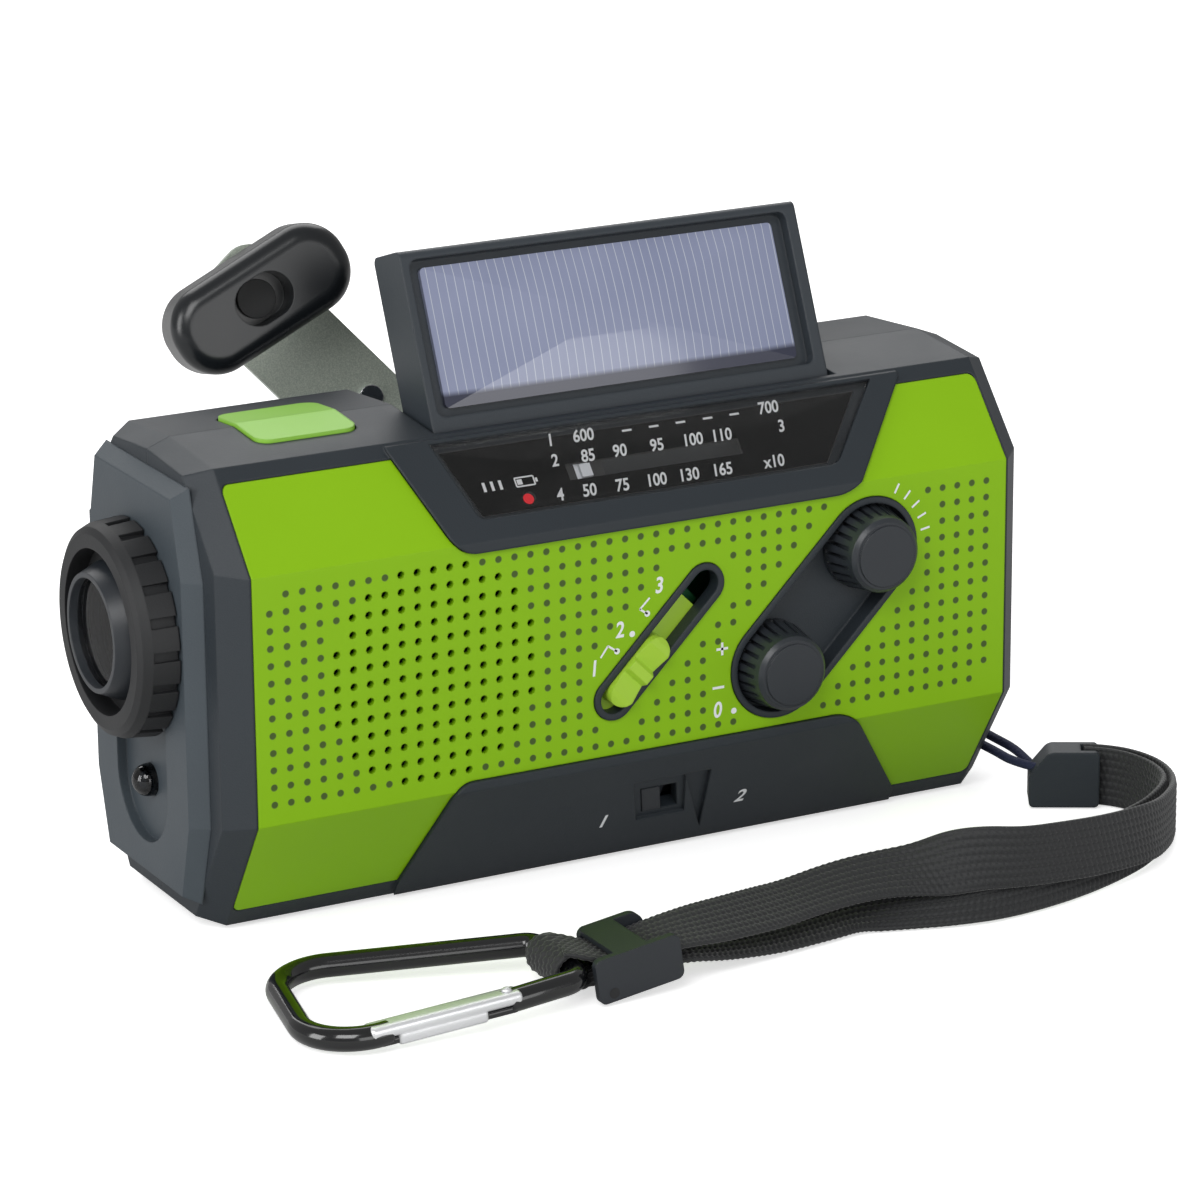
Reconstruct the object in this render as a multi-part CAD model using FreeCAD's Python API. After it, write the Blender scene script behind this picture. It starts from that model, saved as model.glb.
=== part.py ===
import FreeCAD, Part
import os
from math import sin, cos, tan, radians, sqrt, pi, hypot, atan2, degrees
from FreeCAD import Vector, Placement, Rotation

# Emergency radio.  X runs along the front from the torch end, Y from the front to the back, Z up.
# The origin is on the table, under the middle of the case.  Millimetres throughout.

# ---- case ----
caseHalf = 70.7          # half the length of the two case shells
flatHalf = 66.8          # where the end chamfer starts
frontY = -28.2           # face of the middle front facet, and -frontY the back face
footRise = 0.8           # the case's underside over the table
midLow = 20.55           # the middle facet's lower and upper edges
midHigh = 59.95
topEdgeY = -16.0         # the upper facet meets the top face here
topEdgeZ = 74.1
crownZ = 75.4            # top face along the middle seam
baseEdgeY = -15.5        # the lower facet meets the underside here
wall = 2.4
gap = 0.1                # clearance round a part that is let into another

# ---- green front panel ----
panelHalf = 66.6
panelThick = 1.2
panelLow = 3.6
panelHigh = 72.0
holePitch = 2.75
speakerX = -36.3
speakerZ = 40.4
speakerField = 17.9      # radius of the field of through holes
holeR = 0.62

# ---- dial ----
dialLow = 58.5
dialLeft = -32.0
dialRight = 37.4
bezelRise = 0.6
windowThick = 1.0
scaleThick = 0.6
pointerX = -5.9
pointerV = 9.8
pointerBack = 2.1        # travel from the rest position towards the low and the high end
pointerOn = 25.9

# ---- controls ----
volumeX = 24.1
volumeZ = 31.9
tuneX = 41.05
tuneZ = 48.8
recessR = 7.5
recessDepth = 3.0
knobR = 7.0
knobTopR = 6.0
knobFace = -33.3
tuneTurn = 280.0
slotX1 = -5.5
slotZ1 = 31.2
slotX2 = 10.8
slotZ2 = 47.5
slotR = 2.35
slideX = -1.4
slideZ = 35.3
buttonX1 = -56.0
buttonX2 = -38.8
buttonY1 = -9.0
buttonY2 = 8.4
buttonRise = 0.5

# ---- solar lid ----
lidX1 = -28.6
lidX2 = 41.9
lidHingeY = -10.3
lidHingeZ = 70.1
lidNose = 4.3            # radius of the lid's front edge round its hinge
lidThick = 9.4
lidLength = 30.8         # from the hinge to the lid's free edge
lidOpen = 67.0           # how far it stands open in the rest pose
lidPinR = 1.0
wellX1 = -29.3
wellX2 = 42.5
wellY1 = -14.9
wellZ = 64.6
wellWall = 1.0

# ---- torch end ----
capThick = 2.7
torchZ = 46.1
headR = 17.2
headFront = -79.9
sensorZ = 20.9

# ---- crank ----
hubX = 0.4
hubZ = 45.2
hubR = 11.0
foldY = 33.7             # height of the fold pin over the middle of the case
armLean = 18.0           # how far the arm stands off the back in the rest pose
armRise = 49.2           # angle of the arm over the horizontal
armWide = 16.2
armThick = 1.8
armReach = 58.2
knobReach = 51.0
gripLong = 32.0
gripWide = 15.0
gripThick = 13.2
gripTurn = 14.0          # the freely turning grip's angle across the arm
shaftR = 3.0
runFit = 0.05            # radial clearance of a running fit

# ---- gears ----
gearModule = 0.8
wheelTeeth = 36
pinionTeeth = 12
idlerAngle = -30.0
genAngle = 20.0

# ---- strap ----
webWide = 10.0
webThick = 1.3
cordR = 0.75


def box(x0, x1, y0, y1, z0, z1):
    return Part.makeBox(x1 - x0, y1 - y0, z1 - z0, Vector(x0, y0, z0))


def rod(x, y, z, dx, dy, dz, radius):
    """A cylinder that starts at a point and runs along a vector."""
    run = Vector(dx, dy, dz)
    return Part.makeCylinder(radius, run.Length, Vector(x, y, z), run)


def place(axis, a, b, level):
    if axis == "x":
        return Vector(level, a, b)
    if axis == "y":
        return Vector(a, level, b)
    return Vector(a, b, level)


def along(axis, length):
    return place(axis, 0, 0, length)


def slab(points, axis, low, high, radius=0.0):
    """A flat outline, with its corners rounded if a radius is given, thickened along an axis."""
    corners = [place(axis, a, b, low) for a, b in points]
    return Part.Face(roundWire(corners, radius)).extrude(along(axis, high - low))


def roundWire(corners, radius):
    count = len(corners)
    radii = radius if isinstance(radius, (list, tuple)) else [radius] * count
    starts, ends, edges = [], [], []
    for i in range(count):
        here, before, after = corners[i], corners[i - 1], corners[(i + 1) % count]
        one = (before - here).normalize()
        two = (after - here).normalize()
        half = one.getAngle(two) / 2
        back = radii[i] / tan(half) if radii[i] > 0 else 0.0
        starts.append(here + one * back)
        ends.append(here + two * back)
        if radii[i] > 0:
            middle = (one + two).normalize()
            apex = here + middle * (radii[i] / sin(half) - radii[i])
            edges.append(Part.Arc(starts[i], apex, ends[i]).toShape())
        else:
            edges.append(None)
    chain = []
    for i in range(count):
        if edges[i] is not None:
            chain.append(edges[i])
        nxt = (i + 1) % count
        if (starts[nxt] - ends[i]).Length > 1e-6:
            chain.append(Part.makeLine(ends[i], starts[nxt]))
    return Part.Wire(chain)


def stadium(x1, z1, x2, z2, radius, y1, y2):
    """A slot with round ends, running through in Y."""
    length = hypot(x2 - x1, z2 - z1)
    a = Part.makeCylinder(radius, y2 - y1, Vector(x1, y1, z1), Vector(0, 1, 0))
    b = Part.makeCylinder(radius, y2 - y1, Vector(x2, y1, z2), Vector(0, 1, 0))
    bar = Part.makeBox(length, y2 - y1, 2 * radius, Vector(0, y1, -radius))
    bar.rotate(Vector(0, 0, 0), Vector(0, 1, 0), -degrees(atan2(z2 - z1, x2 - x1)))
    bar.translate(Vector(x1, 0, z1))
    return a.fuse([b, bar]).removeSplitter()


def join(shapes):
    first = shapes[0]
    return first.fuse(shapes[1:]).removeSplitter() if len(shapes) > 1 else first


# ---- case section ----
def section(inset):
    """The case's outline in Y and Z, moved inwards by one amount or by one for each edge."""
    pts = [
        (baseEdgeY, footRise), (-baseEdgeY, footRise), (-frontY, midLow), (-frontY, midHigh),
        (-topEdgeY, topEdgeZ), (0.0, crownZ), (topEdgeY, topEdgeZ), (frontY, midHigh), (frontY, midLow),
    ]
    n = len(pts)
    d = inset if isinstance(inset, (list, tuple)) else [inset] * n
    lines = []
    for i in range(n):
        (y1, z1), (y2, z2) = pts[i], pts[(i + 1) % n]
        size = hypot(y2 - y1, z2 - z1)
        ny, nz = -(z2 - z1) / size, (y2 - y1) / size
        lines.append((ny, nz, ny * y1 + nz * z1 + d[i]))
    out = []
    for i in range(n):
        a1, b1, c1 = lines[i - 1]
        a2, b2, c2 = lines[i]
        det = a1 * b2 - a2 * b1
        out.append(((c1 * b2 - c2 * b1) / det, (a1 * c2 - a2 * c1) / det))
    return out


def prism(inset, x0, x1):
    return slab(section(inset), "x", x0, x1)


# inset of the end face for the underside, back facets, top, and front facets
endInset = [1.4, 3.0, 4.2, 3.0, 1.5, 1.5, 3.0, 4.2, 3.0]


def caseBlock():
    ends = []
    for side in (-1, 1):
        wires = []
        for x, inset in ((flatHalf, 0.0), (caseHalf, endInset)):
            wires.append(Part.makePolygon([Vector(side * x, y, z) for y, z in section(inset) + section(inset)[:1]]))
        ends.append(Part.makeLoft(wires, True, True))
    return join([prism(0.0, -flatHalf, flatHalf)] + ends)


def caseCavity():
    return join([prism(wall, -flatHalf + 1, flatHalf - 1), prism(wall + 2.4, -caseHalf + wall, caseHalf - wall)])


# ---- facets: local x along the case, local y up the facet, local z out of it ----
upperLean = atan2(topEdgeY - frontY, topEdgeZ - midHigh)
lowerLean = atan2(frontY - baseEdgeY, midLow - footRise)


def facetPlace(lean, z):
    up = Vector(0, sin(lean), cos(lean))
    out = Vector(0, -cos(lean), sin(lean))
    return Placement(Vector(0, frontY, z), Rotation(Vector(1, 0, 0), up, out, "ZXY"))


upperFacet = facetPlace(upperLean, midHigh)
lowerFacet = facetPlace(lowerLean, midLow)


def onFacet(shape, frame):
    moved = shape.copy()
    moved.Placement = frame.multiply(moved.Placement)
    return moved


# ---- raised dark areas of the front ----
def dialIsland(grow, y0, y1):
    pts = [
        (dialLeft - grow, dialLow - grow), (dialRight + 0.6 * grow, dialLow - grow),
        (52.6 + grow, panelHigh + 1.2), (52.6 + grow, 80), (-38.6 - grow, 80), (-38.6 - grow, panelHigh + 1.2),
    ]
    return slab(pts, "y", y0, y1, [5.0, 7.5, 0, 0, 0, 0])


def baseIsland(grow, y0, y1):
    pts = [
        (-38.4 - grow, panelLow - 0.5), (-33.0 - grow, 21.9 + grow), (37.6 + 0.6 * grow, 21.9 + grow),
        (52.3 + grow, panelLow - 0.5), (52.3 + grow, -4), (-38.4 - grow, -4),
    ]
    return slab(pts, "y", y0, y1, [0, 4.0, 7.0, 0, 0, 0])


def slotIsland(grow, y0, y1):
    return stadium(slotX1, slotZ1, slotX2, slotZ2, 3.4 + grow, y0, y1)


def knobIsland(grow, y0, y1):
    return stadium(volumeX, volumeZ, tuneX, tuneZ, 8.5 + grow, y0, y1)


def islands(grow):
    far = frontY + 22
    near = frontY - 4
    return [dialIsland(grow, near, far), baseIsland(grow, near, far),
            slotIsland(grow, near, far), knobIsland(grow, near, far)]


def panelLayer(shrink):
    """The skin over the three front facets that the panel fills."""
    half = panelHalf - shrink
    skin = prism(-0.001, -half, half).cut(prism(panelThick, -half - 1, half + 1))
    keep = slab([(-half, panelLow + shrink), (half, panelLow + shrink), (half, panelHigh - shrink),
                 (-half, panelHigh - shrink)], "y", frontY - 3, topEdgeY + 3.2, 1.3)
    return skin.common(keep)


def raised():
    """The frames that stand proud of the panel."""
    proud = prism(-bezelRise, -flatHalf, flatHalf).cut(prism(1.0, -caseHalf, caseHalf))
    room = box(-60, 60, frontY - 3, topEdgeY - 0.2, 0.4, topEdgeZ - 0.3)
    far = topEdgeY
    near = frontY - 4
    pieces = [dialIsland(0, near, far), baseIsland(0, near, far)]
    low = prism(-0.35, -flatHalf, flatHalf).cut(prism(1.0, -caseHalf, caseHalf))
    small = [slotIsland(0, near, far), knobIsland(0, near, far)]
    return [proud.common(room).common(p) for p in pieces] + [low.common(p).common(room) for p in small]


def windowOutline(grow):
    return [(-27.2 - grow, 3.5 - grow), (36.2 + 0.7 * grow, 3.5 - grow), (47.4 + grow, 17.2), (-31.4 - grow, 17.2)]


def windowPocket():
    face = slab(windowOutline(0), "z", -windowThick, 3, [1.5, 3.5, 0, 0])
    through = slab([(-25.9, 4.6), (35.4, 4.6), (44.6, 16.2), (-29.6, 16.2)], "z", -windowThick - scaleThick - 0.1, 0)
    deep = slab([(-25.9, 4.6), (35.4, 4.6), (41.9, 12.8), (-28.5, 12.8)], "z", -5.2, 0)
    return [onFacet(s, upperFacet) for s in (face, through, deep)]


def selectorOutline(grow):
    return [(1.6 - grow, -8.1 + grow), (3.5 - grow, -14.2 - grow), (10.0 + grow, -14.2 - grow), (8.1 + grow, -8.1 + grow)]


def selectorCuts():
    scoop = slab([(-0.6, -5.5), (2.6, -15.4), (11.4, -15.4), (8.8, -5.5)], "z", 0.0, 3)
    wedge = slab([(8.6, -5.4), (13.4, -5.4), (15.7, -20.4)], "z", -0.2, 3)
    hole = slab(selectorOutline(0), "z", -6, 2)
    return [onFacet(s, lowerFacet) for s in (scoop, wedge, hole)]


# ---- openings shared by the two shells ----
def wellCut():
    return box(wellX1, wellX2, wellY1, 40, wellZ, 90)


def wellTub():
    return box(wellX1 - wellWall, wellX2 + wellWall, wellY1 - wellWall, 40, wellZ - 1.6, 90)


def buttonCut(grow):
    pts = [(buttonX1 - grow, buttonY1 - grow), (buttonX2 + grow, buttonY1 - grow),
           (buttonX2 + grow, buttonY2 + grow), (buttonX1 - grow, buttonY2 + grow)]
    return slab(pts, "z", 71, 80, 2.5)


def torchOpening():
    return rod(-80, 0, torchZ, 13.5, 0, 0, 15.2)


def sensorHole():
    return rod(-80, 0, sensorZ, 13.5, 0, 0, 3.6)


def lidPinHoles():
    out = []
    for x in (wellX1 - 3.0, wellX2):
        out.append(rod(x, lidHingeY, lidHingeZ, 3.0, 0, 0, lidPinR + runFit))
    return out


def lidPinBosses():
    out = []
    for x in (wellX1 - 3.6, wellX2 + 0.2):
        out.append(rod(x, lidHingeY, lidHingeZ, 3.4, 0, 0, 2.6))
    return out


trayX1, trayX2, trayY, trayRoof = -28.0, 24.0, 12.4, 24.2


def trayZone(grow):
    return box(trayX1 - grow, trayX2 + grow, -trayY - grow, 0.5, -1, trayRoof + 1.4 + grow)


# ---- front shell ----
boardY = -14.6
boardThick = 1.6
boardPosts = [(60.0, 19.0), (60.0, 54.0), (-9.0, 55.0), (28.5, 19.0)]
caseScrewPlaces = [(-62.0, 66.2), (-62.0, 22.0), (-34.0, 5.9), (34.0, 5.9)]
screwSeatY = 6.0


def speakerSeat():
    ring = rod(speakerX, -26.2, speakerZ, 0, 3.2, 0, 20.6)
    return ring.cut(rod(speakerX, -27, speakerZ, 0, 6, 0, 19.0))


def frontShell():
    body = caseBlock()
    room = caseCavity()
    half = box(-90, 90, -60, 0, -5, 90)
    shell = body.cut(room)
    posts = [rod(x, frontY + 1, z, 0, boardY - frontY - 1, 0, 2.6) for x, z in boardPosts]
    frame = onFacet(slab([(-27.4, 3.1), (36.6, 3.1), (41.0, 9.0), (41.0, 12.9), (-30.0, 12.9)], "z", -5.0, -1.5), upperFacet)
    keeps = [box(x - 1.4, x + 1.4, -13.9, -11.4, 67.2, 75) for x in (-56.0, -38.6)]
    screwPosts = [rod(x, -12, z, 0, 12, 0, 3.0) for x, z in caseScrewPlaces]
    inside = join([wellTub(), frame, speakerSeat(), knobTub(), torchWeb()] + lidPinBosses() + posts + keeps
                  + selectorRibs() + screwPosts).common(body)
    shell = shell.fuse([inside] + raised())
    layer = panelLayer(0.0)
    for island in islands(0.0):
        layer = layer.cut(island)
    grille = rod(speakerX, -30, speakerZ, 0, 8, 0, 18.4)
    cuts = [layer, grille, wellCut(), buttonCut(gap), torchOpening(), sensorHole(), knobRecess()]
    cuts += windowPocket() + selectorCuts()
    cuts += [stadium(slotX1, slotZ1, slotX2, slotZ2, slotR, -31, -20)]
    cuts += lidPinHoles() + shaftHoles() + [trayZone(0.1)]
    cuts += [rod(x, boardY - 6, z, 0, 8, 0, 0.9) for x, z in boardPosts]
    cuts += [rod(x, -10, z, 0, 10, 0, 1.2) for x, z in caseScrewPlaces]
    for cut in cuts:
        shell = shell.cut(cut)
    shell = shell.common(half).fuse(strapLug())
    return mainSolid(shell)


lugX, lugY, lugLow, lugHigh = 73.6, -8.0, 3.6, 9.4


def strapLug():
    """A small bridge on the right-hand end that the cord loops round."""
    bar = rod(lugX, lugY, lugLow, 0, 0, lugHigh - lugLow, 1.0)
    arms = [box(caseHalf - 0.7, lugX + 0.8, lugY - 1, lugY + 1, z, z + 1.6) for z in (lugLow, lugHigh - 1.6)]
    return join([bar] + arms)


def mainSolid(shape):
    """The largest solid: slivers left by the cuts are dropped."""
    return sorted(shape.removeSplitter().Solids, key=lambda s: -s.Volume)[0]


def knobRecess():
    return stadium(volumeX, volumeZ, tuneX, tuneZ, recessR, frontY - 4, frontY + recessDepth)


def knobTub():
    return stadium(volumeX, volumeZ, tuneX, tuneZ, recessR + 1.2, frontY + 0.5, frontY + recessDepth + 1.5)


def shaftHoles():
    return [rod(x, -28, z, 0, 8, 0, 2.6) for x, z in ((volumeX, volumeZ), (tuneX, tuneZ))]


# ---- rear shell ----
ledgeY, ledgeZ = 21.4, 58.2
antennaY, antennaZ = 24.6, 61.4
pivotX = 60.0
pocketX, pocketHalf = -50.9, 17.0
portX1, portX2, portZ1, portZ2 = 46.0, 64.0, 19.0, 28.0
gearPosts = [(-12.0, 29.5), (-13.4, 58.4), (43.6, 57.0), (43.6, 28.0)]
plateY, plateThick = 10.2, 1.6


doorThick, doorPinR = 1.5, 0.4
doorHingeX = trayX1 + 0.7 + gap + doorThick / 2
doorHingeZ = footRise + doorThick / 2
gearStep = gearModule * (wheelTeeth + pinionTeeth) / 2
idlerX = hubX + gearStep * cos(radians(idlerAngle))
idlerZ = hubZ + gearStep * sin(radians(idlerAngle))
genX = idlerX + gearStep * cos(radians(genAngle))
genZ = idlerZ + gearStep * sin(radians(genAngle))
ferriteY, ferriteZ, ferriteR = 16.6, 17.0, 4.0


def rodCradles():
    out = []
    for x in (-53.0, -13.0):
        out.append(box(x, x + 1.6, trayY + 0.6, 26, 0.8, ferriteZ).cut(rod(x - 1, ferriteY, ferriteZ, 4, 0, 0, ferriteR)))
    return out


def knobPocket(grow, depth):
    x1, x2 = pocketX - 9.6 - grow, pocketX + 9.6 + grow
    z1, z2 = hubZ - pocketHalf - grow, hubZ + pocketHalf + grow
    return slab([(x1, z1), (x2, z1), (x2, z2), (x1, z2)], "y", -frontY - depth, -frontY + 6, 6.0)


def rearShell():
    body = caseBlock()
    half = box(-90, 90, 0, 60, -5, 90).fuse(trayZone(0.0))
    shell = body.cut(caseCavity())
    ledge = box(-90, 66, ledgeY - 1.6, 40, ledgeZ - 1.6, 90)
    posts = [rod(x, plateY + plateThick, z, 0, 27 - plateY - plateThick, 0, 2.4) for x, z in gearPosts]
    bearing = rod(hubX, 20.8, hubZ, 0, 6, 0, 6.0)
    tray = box(trayX1, trayX2, -trayY, trayY, footRise, trayRoof + 1.4)
    portBox = box(portX1 - 1.4, portX2 + 1.4, 22.6, 27, portZ1 - 1.4, portZ2 + 1.4)
    keeps = [box(x - 1.4, x + 1.4, 9.9, 12.2, 67.2, 75) for x in (-56.0, -38.6)]
    axlePost = rod(idlerX, 20.4, idlerZ, 0, 6.6, 0, 3.0)
    screwPosts = [rod(x, 0, z, 0, 26, 0, 3.6) for x, z in caseScrewPlaces]
    extra = join([wellTub(), ledge, bearing, axlePost, tray, portBox, knobPocket(1.4, 11.0), torchWeb()] + posts + keeps
                 + cellCradle() + rodCradles() + screwPosts).common(body)
    shell = shell.fuse([extra])
    cells = box(trayX1 + 1.5, trayX2 - 1.5, -trayY + 1.5, trayY - 1.5, footRise + doorThick, trayRoof)
    mouth = box(trayX1 + 0.7, trayX2 - 0.7, -trayY + 0.7, trayY - 0.7, -1, footRise + doorThick + gap)
    doorHoles = rod(doorHingeX, -trayY - 0.1, doorHingeZ, 0, 2 * trayY + 0.2, 0, doorPinR + runFit)
    cuts = [wellCut(), buttonCut(gap), torchOpening(), sensorHole(), cells, mouth, doorHoles, knobPocket(0, 9.6)]
    cuts += [rod(x, -1, z, 0, 9, 0, 1.3) for x, z in caseScrewPlaces]
    cuts += [rod(x, screwSeatY, z, 0, 30, 0, 2.5) for x, z in caseScrewPlaces]
    cuts += [rod(x, plateY + 1, z, 0, 6.2, 0, 0.9) for x, z in gearPosts]
    cuts += [rod(idlerX, 18, idlerZ, 0, 6.0, 0, 1.5)]
    cuts += [box(-90, 65, ledgeY, 40, ledgeZ, 80)]
    cuts += [rod(hubX, 18, hubZ, 0, 14, 0, shaftR + runFit)]
    cuts += [box(portX1, portX2, 24.4, 40, portZ1, portZ2), box(portX1 + 2, portX2 - 2, 20, 26, portZ1 + 1, portZ2 - 1)]
    cuts += [rod(pivotX, 17, antennaZ, 0, 6, 0, 1.2)]
    for cut in cuts:
        shell = shell.cut(cut)
    shell = shell.common(half)
    return mainSolid(shell)


# ---- panel, dial and controls ----
def frontPanel():
    panel = panelLayer(gap)
    for island in islands(gap):
        panel = panel.cut(island)
    steps = int(speakerField / holePitch) + 1
    holes = []
    for i in range(-steps, steps + 1):
        for j in range(-steps, steps + 1):
            if hypot(i, j) * holePitch < speakerField:
                x, z = speakerX + i * holePitch, speakerZ + j * holePitch
                corners = [(x + holeR * cos(pi * k / 4), z + holeR * sin(pi * k / 4)) for k in range(8)]
                holes.append(slab(corners, "y", frontY - 1, frontY + 3))
    return mainSolid(panel.cut(Part.makeCompound(holes)))


def dialWindow():
    return onFacet(slab(windowOutline(-gap), "z", -windowThick, 0, [1.4, 3.4, 0, 0]), upperFacet)


def dialScale():
    g = gap
    plate = slab([(-25.9 + g, 4.6 + g), (35.4 - g, 4.6 + g), (44.6 - 2 * g, 16.2 - g), (-29.6 + g, 16.2 - g)],
                 "z", -windowThick - scaleThick, -windowThick)
    slot = slab([(pointerX - pointerBack - 1.4, pointerV - 1.4), (pointerX + pointerOn + 1.4, pointerV - 1.4),
                 (pointerX + pointerOn + 1.4, pointerV + 1.4), (pointerX - pointerBack - 1.4, pointerV + 1.4)], "z", -4, 1)
    lamp = Part.makeCylinder(0.9, 6, Vector(-17.0, 6.7, -4))
    return onFacet(plate.cut(slot).cut(lamp), upperFacet)


def tuningLamp():
    body = Part.makeCylinder(0.9, 3.0, Vector(-17.0, 6.7, -4.1))
    flange = Part.makeCylinder(1.3, 0.5, Vector(-17.0, 6.7, -4.1))
    return onFacet(body.fuse(flange), upperFacet)


def dialPointer():
    nose = Part.makeBox(2.2, 2.2, 0.9, Vector(pointerX - 1.1, pointerV - 1.1, -2.0))
    carriage = Part.makeBox(6.4, 4.6, 2.6, Vector(pointerX - 3.2, pointerV - 2.4, -4.4))
    return onFacet(nose.fuse(carriage).removeSplitter(), upperFacet)


stemR = 2.0


def knob(x, z):
    back = frontY + recessDepth - 0.4
    pts = [(0, back), (knobR, back), (knobR, back - 1.3), (knobTopR + 0.1, knobFace + 0.6), (knobTopR - 0.5, knobFace), (0, knobFace)]
    face = Part.Face(Part.makePolygon([Vector(r, y, 0) for r, y in pts + pts[:1]]))
    body = face.revolve(Vector(0, 0, 0), Vector(0, 1, 0), 360)
    grooves = []
    for k in range(24):
        groove = box(knobTopR - 0.35, knobR + 1, knobFace - 1, back - 1.5, -0.3, 0.3)
        groove.rotate(Vector(0, back - 1.5, 0), Vector(0, 0, 1), 7.0)
        groove.rotate(Vector(0, 0, 0), Vector(0, 1, 0), 15 * k)
        grooves.append(groove)
    body = body.cut(Part.makeCompound(grooves))
    stem = rod(0, back - 1, 0, 0, boardY - back + 0.4, 0, stemR)
    body = body.fuse([stem, rod(0, knobFace, 0, 0, -0.3, 0, 5.0)])
    body.translate(Vector(x, 0, z))
    return mainSolid(body)


def pot(x, z, side):
    body = box(x - side / 2, x + side / 2, -23.2, boardY, z - side / 2, z + side / 2)
    return body.cut(rod(x, -25, z, 0, 10.0, 0, stemR + runFit))


def slotTurn(shape):
    shape.rotate(Vector(0, 0, 0), Vector(0, 1, 0), -45)
    shape.translate(Vector(slideX, 0, slideZ))
    return shape


def bandSlider():
    pts = [(-6.5, -25.7), (-6.5, -29.2), (-5.6, -29.7), (-4.6, -29.9), (-3.4, -29.5), (-1.4, -28.9), (-0.8, -29.9),
           (0.8, -29.9), (1.4, -28.9), (3.4, -29.5), (4.6, -29.9), (5.6, -29.7), (6.5, -29.2), (6.5, -25.7)]
    body = slab([(a, b) for a, b in pts], "z", -2.2, 2.2).common(stadium(-4.3, 0, 4.3, 0, 2.2, -32, -25))
    flange = box(-12, 14, -25.72, -24.7, -3.4, 3.4)
    stem = box(-1.2, 1.2, -24.8, -22.2, -1.2, 1.2)
    return slotTurn(join([body, flange, stem]))


def bandSwitch():
    body = box(-4.4, 15.6, -22.8, boardY, -4.0, 4.0).cut(box(-3.2, 14.4, -23, -20.6, -1.4, 1.4))
    return slotTurn(body)


def batterySelector():
    nose = slab([(1.75, -8.25), (3.6, -14.05), (6.9, -14.05), (5.05, -8.25)], "z", -3.0, 0.1)
    flange = Part.makeBox(7.8, 9.0, 1.0, Vector(0.4, -15.7, -3.6))
    return onFacet(nose.fuse(flange).removeSplitter(), lowerFacet)


def selectorSwitch():
    return onFacet(Part.makeBox(13.0, 8.0, 3.4, Vector(-1.0, -15.2, -7.2)), lowerFacet)


def selectorRibs():
    ribs = [Part.makeBox(1.2, 7.0, 5.4, Vector(x, -14.7, -7.2)) for x in (-2.2, 12.0)]
    return [onFacet(r, lowerFacet) for r in ribs]


switchPlaces, switchY, switchBase, stemThin = (-52.0, -42.8), -0.3, 67.2, 1.5


def lampButton():
    def crownAt(y):
        return crownZ - abs(y) * (crownZ - topEdgeZ) / -topEdgeY
    pts = [(buttonY1, 71.6), (buttonY2, 71.6), (buttonY2, crownAt(buttonY2) + buttonRise), (0, crownZ + buttonRise),
           (buttonY1, crownAt(buttonY1) + buttonRise)]
    cap = slab(pts, "x", buttonX1, buttonX2).common(buttonCut(-gap))
    flange = box(buttonX1 - 1.2, buttonX2 + 1.2, buttonY1 - 1.3, buttonY2 + 1.2, 70.7, 71.8)
    stems = [rod(x, switchY, switchBase + 1.4, 0, 0, 71.0 - switchBase - 1.4, stemThin) for x in switchPlaces]
    return mainSolid(cap.fuse([flange] + stems))


def buttonBoard():
    return box(-58.0, -36.6, -13.9, 12.2, 65.9, 67.2)


def tactSwitches():
    out = []
    for x in switchPlaces:
        body = box(x - 3, x + 3, switchY - 3, switchY + 3, switchBase, switchBase + 2.4)
        out.append(body.cut(rod(x, switchY, switchBase + 0.4, 0, 0, 5, stemThin + runFit)))
    return Part.makeCompound(out)


# ---- solar lid, drawn shut with its hinge on the x axis, then opened ----
def openLid(shape):
    moved = shape.copy()
    moved.rotate(Vector(0, 0, 0), Vector(1, 0, 0), lidOpen)
    moved.translate(Vector(0, lidHingeY, lidHingeZ))
    return moved


lidUnder = lidNose - lidThick


def lidBlock(x0, x1, y0, y1, z0, z1, radius):
    return slab([(x0, y0), (x1, y0), (x1, y1), (x0, y1)], "z", z0, z1, radius)


def solarLid():
    pts = [(0, lidUnder), (lidLength + 0.8, lidUnder), (lidLength, lidNose), (0, lidNose)]
    body = slab(pts, "x", lidX1, lidX2, [0, 1.2, 1.2, 0])
    nose = rod(lidX1, 0, 0, lidX2 - lidX1, 0, 0, lidNose)
    body = body.fuse(nose).removeSplitter()
    cuts = [lidBlock(-27.2, 40.0, 4.4, 29.3, 2.1, 6, 1.5), lidBlock(-27.4, 40.7, 3.0, 30.0, -9, lidUnder + 1.2, 1.0),
            lidBlock(-26.2, 39.5, 4.2, 28.8, -6, 0.8, 1.0)]
    for x in (lidX1 - 1, lidX2 - 3.5):
        cuts.append(rod(x, 0, 0, 4.5, 0, 0, lidPinR))
    posts = [rod(x, y, -0.2, 0, 0, 1.6, 1.6) for x in (-20.0, 33.0) for y in (9.0, 23.0)]
    for cut in cuts:
        body = body.cut(cut)
    return openLid(mainSolid(body.fuse(posts)))


def lidPins():
    return Part.makeCompound([openLid(rod(wellX1 - 2.8, 0, 0, lidX1 + 3.5 - wellX1 + 2.8, 0, 0, lidPinR)),
                              openLid(rod(lidX2 - 3.5, 0, 0, wellX2 + 2.8 - lidX2 + 3.5, 0, 0, lidPinR))])


def solarCell():
    return openLid(lidBlock(-25.0, 37.8, 5.8, 28.0, 2.1, 2.5, 0.8))


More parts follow.
